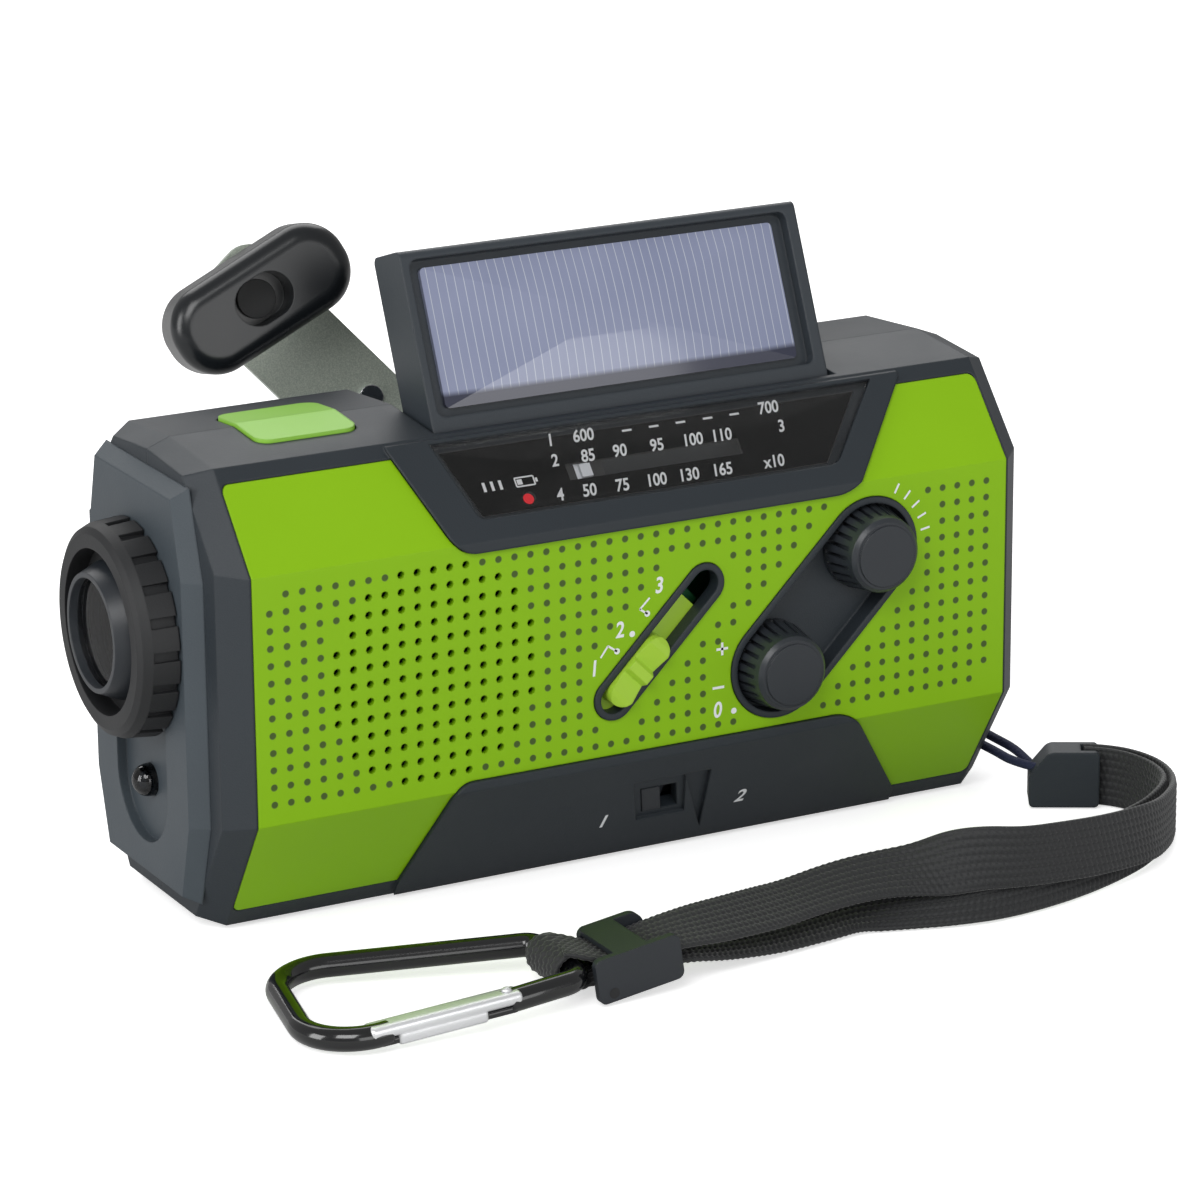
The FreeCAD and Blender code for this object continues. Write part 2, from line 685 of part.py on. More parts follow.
def solarCover():
    """Clear resin over the cell, bulged both ways."""
    x0, x1, y0, y1 = -25.0, 37.8, 5.8, 28.0
    base, edge, top = 2.5, 2.9, 4.0
    longArc = Part.Wire([Part.Arc(Vector(x0, 0, edge), Vector((x0 + x1) / 2, 0, top), Vector(x1, 0, edge)).toShape(),
                         Part.makePolygon([Vector(x1, 0, edge), Vector(x1, 0, base), Vector(x0, 0, base), Vector(x0, 0, edge)])])
    shortArc = Part.Wire([Part.Arc(Vector(0, y0, edge), Vector(0, (y0 + y1) / 2, top), Vector(0, y1, edge)).toShape(),
                          Part.makePolygon([Vector(0, y1, edge), Vector(0, y1, base), Vector(0, y0, base), Vector(0, y0, edge)])])
    one = Part.Face(longArc).extrude(Vector(0, 60, 0))
    two = Part.Face(shortArc).extrude(Vector(120, 0, 0))
    two.translate(Vector(-60, 0, 0))
    return openLid(one.common(two).common(lidBlock(x0, x1, y0, y1, 0, 9, 0.8)))


def lidBack():
    plate = lidBlock(-27.3, 40.6, 3.1, 29.9, lidUnder, lidUnder + 1.2, 1.0)
    return openLid(plate.cut(lidBlock(-16.0, 29.0, 9.0, 23.0, -9, 0, 2.0)))


def readingLens():
    pane = lidBlock(-15.9, 28.9, 9.1, 22.9, lidUnder, lidUnder + 1.2, 1.9)
    rim = lidBlock(-17.4, 30.4, 7.8, 24.2, lidUnder + 1.2, lidUnder + 2.0, 2.0)
    return openLid(pane.fuse(rim).removeSplitter())


def readingBoard():
    return openLid(lidBlock(-22.5, 35.5, 6.5, 25.5, -1.2, -0.2, 0.0))


def readingLamps():
    out = []
    for i in range(6):
        for y in (12.5, 19.5):
            x = -11.0 + 7.0 * i
            out.append(lidBlock(x - 1.4, x + 1.4, y - 1.4, y + 1.4, -2.0, -1.2, 0.0))
    return openLid(Part.makeCompound(out))


# ---- torch end ----
def endCap():
    wires = []
    seam = [(-15.7, 5.0), (15.7, 5.0), (20.1, 18.6), (20.1, 57.6), (15.9, 71.6), (-15.9, 71.6), (-20.1, 57.6), (-20.1, 18.6)]
    face = [(-14.2, 6.3), (14.2, 6.3), (17.6, 18.4), (17.6, 57.6), (14.4, 69.8), (-14.4, 69.8), (-17.6, 57.6), (-17.6, 18.4)]
    for x, pts in ((-caseHalf, seam), (-caseHalf - capThick, face)):
        wires.append(Part.makePolygon([Vector(x, y, z) for y, z in pts + pts[:1]]))
    cap = Part.makeLoft(wires, True, True)
    cap = cap.cut(rod(-80, 0, torchZ, 20, 0, 0, 14.5 + runFit))
    r = 9.7
    low = rod(-80, 0, sensorZ, 8.2, 0, 0, r).fuse(box(-80, -71.8, -r, r, sensorZ, 33.0))
    cap = cap.cut(low.cut(rod(-80, 0, torchZ, 20, 0, 0, 15.6)))
    return mainSolid(cap.cut(rod(-80, 0, sensorZ, 20, 0, 0, 2.6)))


def sensorDome():
    dome = Part.makeSphere(2.6, Vector(-72.4, 0, sensorZ)).common(box(-80, -72.4, -4, 4, sensorZ - 4, sensorZ + 4))
    stem = rod(-72.4, 0, sensorZ, 3.0, 0, 0, 2.6)
    flange = rod(-caseHalf, 0, sensorZ, 1.1, 0, 0, 3.4)
    return join([dome, stem, flange])


def turned(points):
    """A body of revolution on the torch's axis, from x and radius."""
    face = Part.Face(Part.makePolygon([Vector(x, r, 0) for x, r in points + points[:1]]))
    body = face.revolve(Vector(0, 0, 0), Vector(1, 0, 0), 360)
    body.translate(Vector(0, 0, torchZ))
    return body


def torchHead():
    f = headFront
    body = turned([(-73.6, headR), (f + 2.0, headR - 0.4), (f + 0.6, headR - 1.0), (f, headR - 2.0), (f, 13.0), (f + 3.4, 13.0),
                   (f + 3.4, 10.9), (f + 4.9, 10.9), (f + 4.9, 13.2), (-66.0, 13.2), (-66.0, 15.0), (-67.0, 15.0),
                   (-67.0, 14.5), (-73.6, 14.5)])
    grooves = []
    for k in range(20):
        groove = box(f + 2.2, -72, headR - 0.9, headR + 1, -0.8, 0.8)
        groove.rotate(Vector(0, 0, 0), Vector(1, 0, 0), 18 * k)
        groove.translate(Vector(0, 0, torchZ))
        grooves.append(groove)
    return mainSolid(body.cut(Part.makeCompound(grooves)))


def torchBezel():
    f = headFront
    return turned([(f - 1.1, 8.6), (f - 1.1, 9.4), (f + 2.3, 10.9), (f + 6.0, 10.9), (f + 6.0, 9.6), (f + 0.3, 9.6), (f + 0.3, 8.6)])


def torchLens():
    return turned([(headFront + 0.3, 0), (headFront + 0.3, 9.55), (headFront + 1.3, 9.55), (headFront + 1.3, 0)])


def torchReflector():
    f = headFront + 1.3
    return turned([(f, 9.5), (f, 8.9), (f + 2.6, 8.0), (f + 5.1, 6.6), (f + 7.1, 4.9), (f + 8.4, 3.2), (f + 9.2, 3.2),
                   (f + 8.0, 5.6), (f + 5.7, 7.7), (f + 3.0, 9.1), (f + 0.8, 9.5)])


torchBoardX = -65.0


def torchBoard():
    return rod(torchBoardX, 0, torchZ, 1.6, 0, 0, 14.0)


def torchLamp():
    body = rod(torchBoardX, 0, torchZ, -4.6, 0, 0, 2.5)
    return body.fuse(Part.makeSphere(2.5, Vector(torchBoardX - 4.6, 0, torchZ))).removeSplitter()


def torchWeb():
    web = box(torchBoardX + 1.6, torchBoardX + 3.2, -30, 30, 30, 62.2)
    return web.cut(rod(-70, 0, torchZ, 20, 0, 0, 12.0))


# ---- sound and power ----
def speakerFrame():
    face = frontY + wall
    rim = rod(speakerX, face, speakerZ, 0, 1.2, 0, 18.7).cut(rod(speakerX, -26, speakerZ, 0, 3, 0, 16.0))
    basket = Part.makeCone(18.0, 9.6, 7.8, Vector(speakerX, face + 1.2, speakerZ), Vector(0, 1, 0))
    basket = basket.cut(Part.makeCone(16.8, 8.4, 7.8, Vector(speakerX, face + 1.2, speakerZ), Vector(0, 1, 0)))
    back = rod(speakerX, -16.8, speakerZ, 0, 1.2, 0, 9.6)
    return join([rim, basket, back])


def speakerMagnet():
    return rod(speakerX, -15.6, speakerZ, 0, 4.4, 0, 8.4)


def speakerCone():
    r1, r2, r3 = 16.0, 15.0, 4.5
    pts = [(r1, -25.3), (r2, -24.8), (r3, -20.6), (0, -21.6), (0, -21.2), (r3 + 0.1, -20.2), (r2, -24.3), (r1, -24.9)]
    face = Part.Face(Part.makePolygon([Vector(r, y, 0) for r, y in pts + pts[:1]]))
    cone = face.revolve(Vector(0, 0, 0), Vector(0, 1, 0), 360)
    cone.translate(Vector(speakerX, 0, speakerZ))
    return cone


def mainBoard():
    board = box(-12.5, 64.0, boardY, boardY + boardThick, 14.5, 58.4)
    for x, z in boardPosts:
        board = board.cut(rod(x, boardY - 1, z, 0, 4, 0, 1.0))
    return board


def boardScrews():
    back = boardY + boardThick
    return Part.makeCompound([rod(x, back, z, 0, -7.0, 0, 0.9).fuse(rod(x, back, z, 0, 1.1, 0, 1.9)) for x, z in boardPosts])


def boardChips():
    back = boardY + boardThick
    return Part.makeCompound([box(4, 14, back, back + 1.6, 30, 40), box(22, 29, back, back + 1.4, 44, 52),
                              box(0, 6, back, back + 6.0, 45, 51)])


cellX, cellY, cellR = 56.3, 4.0, 9.25


def lithiumCell():
    return rod(cellX, cellY, footRise + wall, 0, 0, 65.0, cellR)


def cellCradle():
    out = []
    for z in (20.0, 50.0):
        out.append(box(46.4, 69, cellY + 0.5, 16, z, z + 2).cut(rod(cellX, cellY, z - 1, 0, 0, 4, cellR)))
    return out


cellPlaces = [(-5.5, 7.6), (5.5, 7.6), (0.0, 16.5)]


def aaaCells():
    out = []
    for y, z in cellPlaces:
        out.append(rod(-24.2, y, z, 43.4, 0, 0, 5.2).fuse(rod(19.2, y, z, 1.0, 0, 0, 1.9)))
    return Part.makeCompound(out)


def cellContacts():
    out = []
    for y, z in cellPlaces:
        out.append(box(20.2, 22.5, y - 3.6, y + 3.6, z - 3.6, z + 3.6))
        out.append(box(-26.5, -24.2, y - 3.6, y + 3.6, z - 3.6, z + 3.6))
    return Part.makeCompound(out)


def batteryDoor():
    x2, y = trayX2 - 0.7 - gap, trayY - 0.7 - gap
    plate = box(doorHingeX, x2, -y, y, footRise, footRise + doorThick)
    edge = rod(doorHingeX, -y, doorHingeZ, 0, 2 * y, 0, doorThick / 2)
    pins = rod(doorHingeX, -trayY, doorHingeZ, 0, 2 * trayY, 0, doorPinR)
    rest = box(-8, 8, -2.5, 2.5, 0, footRise + 0.2)
    return join([plate, edge, pins, rest])


def rubberFeet():
    return Part.makeCompound([rod(x, y, footRise, 0, 0, -footRise, 4.0) for x in (-56.0, 56.0) for y in (-9.0, 9.0)])


# ---- crank, drawn with the arm flat and along local x, then turned to its place ----
def crankPlace():
    a = Vector(-cos(radians(armRise)), 0, sin(radians(armRise)))
    return Placement(Vector(hubX, 0, hubZ), Rotation(a, Vector(0, 1, 0), a.cross(Vector(0, 1, 0)), "XYZ"))


def onCrank(shape, lean=0.0):
    moved = shape.copy()
    moved.rotate(Vector(0, foldY, 0), Vector(0, 0, 1), lean)
    moved.Placement = crankPlace().multiply(moved.Placement)
    return moved


def crankHub():
    back = -frontY + 0.3
    disc = rod(0, back, 0, 0, 2.7, 0, hubR)
    ears = []
    for side in (-1, 1):
        z0 = 5.0 if side > 0 else -8.0
        ear = box(-3.2, 3.2, back + 1, foldY, z0, z0 + 3).fuse(rod(0, foldY, z0, 0, 0, 3, 3.2))
        ears.append(ear.cut(rod(0, foldY, z0 - 1, 0, 0, 5, 1.2)))
    body = join([disc] + ears).cut(rod(0, 20, 0, 0, 30, 0, shaftR).common(box(-9, 9, 0, back + 2.7, -9, 9)))
    return onCrank(mainSolid(body))


def crankShaft():
    return onCrank(rod(0, plateY + 0.2, 0, 0, -frontY + 3.0 - plateY - 0.2, 0, shaftR))


def foldPin():
    return onCrank(rod(0, foldY, -8.3, 0, 0, 16.6, 1.2))


def crankArm():
    t = armThick / 2
    w = armWide / 2
    root = 4.6
    plate = slab([(5.2, -w), (armReach, -w), (armReach, w), (5.2, w)], "y", foldY - t, foldY + t, [3.0, 4.5, 4.5, 3.0])
    neck = box(0, 8, foldY - t, foldY + t, -root, root)
    knuckle = rod(0, foldY, -root, 0, 0, 2 * root, 2.1)
    body = join([plate, neck, knuckle])
    body = body.cut(rod(0, foldY, -20, 0, 0, 40, 1.2 + runFit))
    boss = rod(42.8, foldY - t, 0, 0, -0.3, 0, 1.8)
    body = body.fuse(boss)
    body = body.cut(rod(knobReach, foldY - 5, 0, 0, 10, 0, 2.2)).cut(rod(25.0, foldY - 5, -2.5, 0, 10, 0, 1.2))
    return onCrank(mainSolid(body), armLean)


def armRivet():
    t = armThick / 2
    parts = [rod(25.0, foldY - t, -2.5, 0, 2 * t, 0, 1.2), rod(25.0, foldY - t, -2.5, 0, -0.7, 0, 2.0),
             rod(25.0, foldY + t, -2.5, 0, 0.5, 0, 2.0)]
    return onCrank(join(parts), armLean)


gripIn = 1.3             # from the arm's middle plane to the grip's outer face


def gripPost():
    t = armThick / 2
    parts = [rod(knobReach, foldY + t, 0, 0, -t - 8.2, 0, 2.2), rod(knobReach, foldY + t, 0, 0, 0.9, 0, 3.8),
             rod(knobReach, foldY - 7.3, 0, 0, -1.0, 0, 3.2)]
    return onCrank(join(parts), armLean)


def crankGrip():
    a, b = gripLong / 2, gripWide / 2
    body = slab([(-b, -a), (b, -a), (b, a), (-b, a)], "y", -gripIn - gripThick, -gripIn, 7.0)
    rims = [e for e in body.Edges if abs(e.BoundBox.YMax - e.BoundBox.YMin) < 1e-6]
    body = body.makeFillet(3.2, rims)
    hole = stadium(0, -1.2, 0, 1.2, 3.8, -gripIn - gripThick - 1, -7.3 + 0.15)
    body = body.cut(hole).cut(rod(0, -20, 0, 0, 30, 0, 2.2 + runFit))
    body.rotate(Vector(0, 0, 0), Vector(0, 1, 0), gripTurn)
    body.translate(Vector(knobReach, foldY, 0))
    return onCrank(mainSolid(body), armLean)


# ---- crank gearing ----
def toothed(x, z, teeth, y1, y2, phase):
    """A spur gear with thin straight-sided teeth; one tooth points along the phase angle."""
    pitchR = gearModule * teeth / 2
    root, tip = pitchR - 0.95 * gearModule, pitchR + 0.7 * gearModule
    step = 360.0 / teeth
    pts = []
    for k in range(teeth):
        for r, share in ((root, -0.26), (tip, -0.11), (tip, 0.11), (root, 0.26)):
            angle = radians(phase + (k + share) * step)
            pts.append((x + r * cos(angle), z + r * sin(angle)))
    return slab(pts, "y", y1, y2)


def driveGear():
    return toothed(hubX, hubZ, wheelTeeth, 15.9, 18.8, idlerAngle).cut(rod(hubX, 10, hubZ, 0, 20, 0, shaftR))


def idlerGear():
    wheel = toothed(idlerX, idlerZ, wheelTeeth, 12.9, 15.4, genAngle)
    pinion = toothed(idlerX, idlerZ, pinionTeeth, 15.3, 19.0, idlerAngle + 180 + 180.0 / pinionTeeth)
    return join([wheel, pinion]).cut(rod(idlerX, 10, idlerZ, 0, 20, 0, 1.5 + runFit))


def idlerAxle():
    return rod(idlerX, plateY, idlerZ, 0, 24.0 - plateY, 0, 1.5)


def generatorPinion():
    gear = toothed(genX, genZ, pinionTeeth, 12.9, 15.4, genAngle + 180 + 180.0 / pinionTeeth)
    return gear.fuse(rod(genX, 3.0, genZ, 0, 10.0, 0, 1.0)).removeSplitter()


def generator():
    body = rod(genX, plateY - 16.0, genZ, 0, 16.0, 0, 11.2)
    return body.cut(rod(genX, 2.8, genZ, 0, 10, 0, 1.0 + runFit))


def gearPlate():
    plate = box(-16.0, 46.0, plateY, plateY + plateThick, trayRoof + 1.6, 61.2)
    plate = plate.cut(rod(hubX, 0, hubZ, 0, 20, 0, shaftR + runFit)).cut(rod(idlerX, 0, idlerZ, 0, 20, 0, 1.5))
    plate = plate.cut(rod(genX, 0, genZ, 0, 20, 0, 2.5))
    for x, z in gearPosts:
        plate = plate.cut(rod(x, 0, z, 0, 20, 0, 1.0))
    return plate


def plateScrews():
    return Part.makeCompound([rod(x, plateY, z, 0, 7.0, 0, 0.9).fuse(rod(x, plateY, z, 0, -1.1, 0, 1.9)) for x, z in gearPosts])


# ---- aerials, charging and fixings ----
def ferriteRod():
    return rod(-56.0, ferriteY, ferriteZ, 47.0, 0, 0, ferriteR)


def aerialCoil():
    return rod(-49.0, ferriteY, ferriteZ, 12.0, 0, 0, ferriteR + 1.1).cut(rod(-50, ferriteY, ferriteZ, 14, 0, 0, ferriteR))


antennaOuterR, antennaMiddleR, antennaInnerR = 2.6, 2.1, 1.6
antennaEnd = -29.0       # free end of the outer tube


def antennaBase():
    tube = rod(antennaEnd, antennaY, antennaZ, pivotX - antennaEnd, 0, 0, antennaOuterR)
    lug = rod(pivotX, antennaY - 2.8, antennaZ, 0, 5.6, 0, 3.0)
    body = join([tube, lug])
    bore = rod(antennaEnd - 1, antennaY, antennaZ, pivotX - 6.0 - antennaEnd, 0, 0, antennaMiddleR + runFit)
    return body.cut(bore).cut(rod(pivotX, 10, antennaZ, 0, 30, 0, 1.2 + runFit))


def antennaMiddle():
    tube = rod(antennaEnd - 1.5, antennaY, antennaZ, pivotX - 9.0 - antennaEnd, 0, 0, antennaMiddleR)
    return tube.cut(rod(antennaEnd - 2, antennaY, antennaZ, pivotX - 11.0 - antennaEnd, 0, 0, antennaInnerR + runFit))


def antennaTip():
    rodPart = rod(antennaEnd - 3.0, antennaY, antennaZ, pivotX - 11.0 - antennaEnd, 0, 0, antennaInnerR)
    knobPart = rod(antennaEnd - 7.0, antennaY, antennaZ, 4.0, 0, 0, antennaOuterR)
    return join([rodPart, knobPart])


def pivotScrew():
    shank = rod(pivotX, ledgeY - 3.4, antennaZ, 0, antennaY + 2.9 - ledgeY + 3.4, 0, 1.2)
    head = rod(pivotX, antennaY + 2.9, antennaZ, 0, 0.8, 0, 2.3)
    nut = rod(pivotX, ledgeY - 3.4, antennaZ, 0, 1.8, 0, 2.2)
    return join([shank, head, nut])


chargeFace = 22.6


def chargeBoard():
    return box(portX1 + 0.3, portX2 + 0.5, chargeFace - 1.6, chargeFace, portZ1 - 1.5, portZ2 + 2.4)


def usbPorts():
    return Part.makeCompound([
        box(49.0, 57.0, chargeFace, 24.3, 21.0, 24.2).cut(box(49.5, 56.5, chargeFace + 0.6, 26, 21.5, 23.7)),
        box(58.4, 61.4, chargeFace, 24.3, 21.0, 26.0).cut(box(58.9, 60.9, chargeFace + 0.6, 26, 21.5, 25.5))])


coverRoll = 0.6
coverHingeZ = portZ1 + 0.3 + coverRoll


def portCover():
    """A soft door: a lip that rolls on its lower edge, and a hollow plug behind it."""
    x1, x2 = portX1 + 0.3, portX2 - 0.3
    lip = box(x1, x2, -frontY - 2 * coverRoll, -frontY, coverHingeZ, portZ2 - 0.3)
    roll = rod(x1, -frontY - coverRoll, coverHingeZ, x2 - x1, 0, 0, coverRoll)
    plug = box(x1 + 1.2, x2 - 1.2, 24.9, -frontY - coverRoll, portZ1 + 1.4, portZ2 - 2.0)
    plug = plug.cut(box(x1 + 2.4, x2 - 2.4, 24, 26.6, portZ1 + 2.4, portZ2 - 3.0))
    return join([lip, roll, plug])


def caseScrews():
    out = []
    for x, z in caseScrewPlaces:
        out.append(rod(x, screwSeatY, z, 0, -15.5, 0, 1.2).fuse(rod(x, screwSeatY, z, 0, 1.6, 0, 2.3)))
    return Part.makeCompound(out)


# ---- wrist strap: the cord to the case, the end clip, and the webbing ----
clipX, clipY, clipYaw = 77.3, -30.3, -30.0
clipLow, clipHigh = 0.3, 9.8
clipHalf, clipDeep = 5.75, 5.5


def strapClip():
    pts = [(-clipHalf, clipLow), (clipHalf, clipLow), (clipHalf, clipHigh), (-clipHalf + 3.2, clipHigh), (-clipHalf, clipHigh - 4.0)]
    body = slab(pts, "y", -clipDeep / 2, clipDeep / 2, [0.8, 0.8, 0.8, 2.0, 1.4])
    slot = box(clipHalf - 3.0, clipHalf + 1, -webThick - 0.3, webThick + 0.3, clipLow - 0.4, clipHigh + 1)
    body = body.cut(slot)
    body.rotate(Vector(0, 0, 0), Vector(0, 0, 1), clipYaw)
    body.translate(Vector(clipX, clipY, 0))
    return body


cordZ = 6.3
cordBend = 2.0           # radius of the turn round the lug's bar


def tubePath(points, corner):
    """Straight runs joined by tangent arcs; corner gives each bend's radius."""
    edges, last = [], points[0]
    for i in range(1, len(points) - 1):
        here = points[i]
        one = (points[i - 1] - here)
        two = (points[i + 1] - here)
        turn = pi - one.getAngle(two)
        r = corner if corner else 0.45 * min(one.Length, two.Length) / tan(turn / 2)
        back = r * tan(turn / 2)
        a = here + Vector(one).normalize() * back
        b = here + Vector(two).normalize() * back
        mid = (Vector(one).normalize() + Vector(two).normalize()).normalize()
        apex = here + mid * (r / cos(turn / 2) - r)
        print("bend", i, "radius", round(r, 2))
        if (a - last).Length > 1e-4:
            edges.append(Part.LineSegment(last, a).toShape())
        edges.append(Part.Arc(a, apex, b).toShape())
        last = b
    edges.append(Part.LineSegment(last, points[-1]).toShape())
    return Part.Wire(edges)


def sweepRound(wire, radius):
    start = wire.Edges[0].valueAt(wire.Edges[0].FirstParameter)
    way = wire.Edges[0].tangentAt(wire.Edges[0].FirstParameter)
    ring = Part.Wire([Part.makeCircle(radius, start, way)])
    return wire.makePipeShell([ring], True, True)


cordPoints = [
    (73.3, -29.4, 6.6), (71.4, -24.4, 6.5), (71.9, -17.6, 6.4), (71.75, -11.6, 6.4),
    (71.75, -6.15, 6.45), (75.45, -6.15, 6.5), (75.45, -11.6, 6.4), (75.9, -17.8, 6.1),
    (75.1, -23.8, 5.4), (74.9, -28.9, 4.4),
]


def lanyardCord():
    return sweepRound(tubePath([Vector(*p) for p in cordPoints], 0), cordR)


# ---- carabiner ring, which the webbing loops round ----
ringBar = 1.85
gateBar = 1.75
ringCorners = [(-46.0, -71.6), (-33.8, -70.6), (-33.6, -54.5), (-71.5, -40.0), (-78.0, -72.0), (-68.5, -71.3)]
ringRadii = [0, 3.4, 2.6, 8.0, 6.6, 0]


def ringHeight(x):
    return 2.2 + (x + 77.0) / 43.0 * 2.4


def ringPoint(x, y):
    return Vector(x, y, ringHeight(x))


# each point of the webbing: its centre, and the direction of its width
lowerRun = [
    ((79.8, -32.5, 5.2), (0, 0, 1)), ((82.0, -33.8, 5.2), (0, 0, 1)), ((84.8, -38.2, 5.2), (0, 0, 1)),
    ((85.5, -44.6, 5.2), (0, 0, 1)), ((83.3, -51.4, 5.2), (0, 0, 1)), ((76.7, -57.9, 5.2), (-0.12, 0.12, 0.98)),
    ((70.1, -61.7, 5.1), (-0.15, 0.3, 0.94)), ((59.3, -65.4, 4.8), (-0.15, 0.48, 0.87)),
    ((50.0, -67.5, 4.6), (-0.1, 0.56, 0.82)), ((42.1, -68.3, 4.5), (0, 0.6, 0.8)),
    ((34.6, -67.2, 3.7), (0, 0.8, 0.6)), ((25.3, -63.5, 2.85), (0, 0.91, 0.42)),
    ((18.0, -60.5, 2.0), (0, 0.97, 0.24)), ((10.4, -61.8, 1.85), (0, 0.98, 0.2)),
    ((0.9, -63.1, 2.1), (0, 0.98, 0.2)), ((-9.0, -64.6, 3.2), (-0.06, 0.98, 0.15)),
    ((-16.5, -65.9, 4.5), (0, 1, 0.05)), ((-25.0, -65.9, 3.95), (0, 1, 0)), ((-29.6, -65.2, 3.5), (0, 1, 0)),
]
upperRun = [
    ((-29.0, -65.4, 6.2), (0, 1, 0)), ((-25.0, -65.9, 6.1), (0, 1, 0)), ((-17.4, -66.0, 7.2), (-0.13, 0.98, 0.12)),
    ((-9.9, -65.5, 7.2), (-0.2, 0.94, 0.29)), ((-0.2, -63.7, 6.8), (0.08, 0.95, 0.3)),
    ((8.2, -61.2, 6.3), (0, 0.97, 0.26)), ((16.2, -60.5, 7.0), (0, 0.94, 0.33)),
    ((23.4, -60.7, 7.3), (-0.07, 0.91, 0.4)), ((29.8, -62.6, 7.6), (-0.05, 0.87, 0.49)),
    ((36.6, -67.5, 9.8), (0, 0.25, 0.97)), ((43.2, -70.0, 9.5), (0, 0, 1)), ((50.9, -69.9, 9.0), (0, 0, 1)),
    ((59.3, -68.9, 8.3), (0, 0, 1)), ((68.7, -66.1, 7.5), (0, 0, 1)), ((74.7, -62.4, 6.5), (0, 0, 1)),
    ((83.6, -53.6, 5.4), (0, 0, 1)), ((87.2, -44.8, 5.2), (0, 0, 1)), ((86.3, -37.4, 5.2), (0, 0, 1)),
    ((82.7, -32.5, 5.2), (0, 0, 1)), ((80.5, -31.2, 5.2), (0, 0, 1)),
]
loopX, loopY = -33.7, -62.7


def webLoop():
    """Half a turn round the ring's short side, with its flats just clear of the bar."""
    out = (ringBar + 0.05 + webThick / 2) / cos(radians(15))
    turn = []
    for step in range(7):
        a = radians(30 * step)
        turn.append(((loopX - out * sin(a), loopY, ringHeight(loopX) - out * cos(a)), (0, 1, 0)))
    return turn


def wristStrap():
    route = lowerRun + webLoop() + upperRun
    sections = []
    for i, (centre, width) in enumerate(route):
        here = Vector(*centre)
        before = Vector(*route[max(i - 1, 0)][0])
        after = Vector(*route[min(i + 1, len(route) - 1)][0])
        way = (after - before).normalize()
        u = Vector(*width)
        u = (u - way * u.dot(way)).normalize() * (webWide / 2)
        v = way.cross(u).normalize() * (webThick / 2)
        ring = [here + u + v, here + u - v, here - u - v, here - u + v]
        sections.append(Part.makePolygon(ring + ring[:1]))
    return Part.makeLoft(sections, True, True)


buckleX, buckleY, buckleZ = -32.4, -66.1, 0.3
bucklePitch = 8.0
buckleLong, buckleTall = 15.0, 7.2
buckleHalf, bucklePlate = 6.4, 1.2


def strapBuckle():
    """A folded channel: two side plates, a bridge over the webbing, and a pin under it."""
    near = [(0.6, 0), (buckleLong, 0), (buckleLong, buckleTall), (0.6, buckleTall)]
    far = [(4.2, 0), (buckleLong, 0), (buckleLong, buckleTall), (4.2, buckleTall)]
    inner = buckleHalf - bucklePlate
    body = slab(near, "y", -buckleHalf, -inner, [1.2, 1.2, 1.2, 1.2])
    body = body.fuse(slab(far, "y", inner, buckleHalf, [1.2, 1.2, 2.4, 1.2]))
    body = body.fuse(box(4.4, 10.0, -inner - 0.4, inner + 0.4, buckleTall - 0.9, buckleTall))
    body = body.fuse(Part.makeCylinder(0.8, 2 * inner + 0.8, Vector(5.4, -inner - 0.4, 1.45), Vector(0, 1, 0)))
    body.rotate(Vector(0, 0, 0), Vector(0, 1, 0), -bucklePitch)
    body.translate(Vector(buckleX, buckleY, buckleZ))
    return mainSolid(body)


def carabinerBody():
    pts = [ringPoint(x, y) for x, y in ringCorners]
    edges, last = [], pts[0]
    for i in range(1, len(pts) - 1):
        one = (pts[i - 1] - pts[i]).normalize()
        two = (pts[i + 1] - pts[i]).normalize()
        half = one.getAngle(two) / 2
        r = ringRadii[i]
        back = r / tan(half)
        a, b = pts[i] + one * back, pts[i] + two * back
        apex = pts[i] + (one + two).normalize() * (r / sin(half) - r)
        edges += [Part.LineSegment(last, a).toShape(), Part.Arc(a, apex, b).toShape()]
        last = b
    edges.append(Part.LineSegment(last, pts[-1]).toShape())
    hingeAt = pts[-1]
    knuckle = rod(hingeAt.x, hingeAt.y, hingeAt.z - 2.5, 0, 0, 5.0, ringBar + 0.4)
    stretches = [sweepRound(Part.Wire([edge]), ringBar) for edge in edges]
    body = stretches[0].fuse(stretches[1:]).fuse(knuckle)
    for open in (0, 9, 18, 26):
        clear = gatePath(gateBar + 0.3, 3.4)
        clear.rotate(hingeAt, Vector(0, 0, 1), open)
        body = body.cut(clear)
    body = body.cut(rod(hingeAt.x, hingeAt.y, -5, 0, 0, 20, 0.7))
    return mainSolid(body)


def gatePath(radius, tongue):
    """The gate between hinge and nose: a folded sleeve with a flat hinge tongue."""
    hingeAt, noseAt = ringPoint(*ringCorners[-1]), ringPoint(*ringCorners[0])
    run = noseAt - hingeAt
    way = Vector(run).normalize()
    start = hingeAt + way * 3.2
    bar = Part.makeCylinder(radius, (noseAt - start).Length - 0.3, start, run)
    flat = Part.makeBox(3.6, 2 * radius, tongue, Vector(0, -radius, -tongue / 2))
    flat = flat.fuse(Part.makeCylinder(radius, tongue, Vector(0, 0, -tongue / 2)))
    flat.rotate(Vector(0, 0, 0), Vector(0, 0, 1), degrees(atan2(run.y, run.x)))
    flat.translate(hingeAt)
    return bar.fuse(flat).removeSplitter()


def carabinerGate():
    hingeAt = ringPoint(*ringCorners[-1])
    return gatePath(gateBar, 2.6).cut(rod(hingeAt.x, hingeAt.y, -5, 0, 0, 20, 0.7 + runFit))


def gatePin():
    hingeAt = ringPoint(*ringCorners[-1])
    return rod(hingeAt.x, hingeAt.y, hingeAt.z - 2.2, 0, 0, 4.4, 0.7)


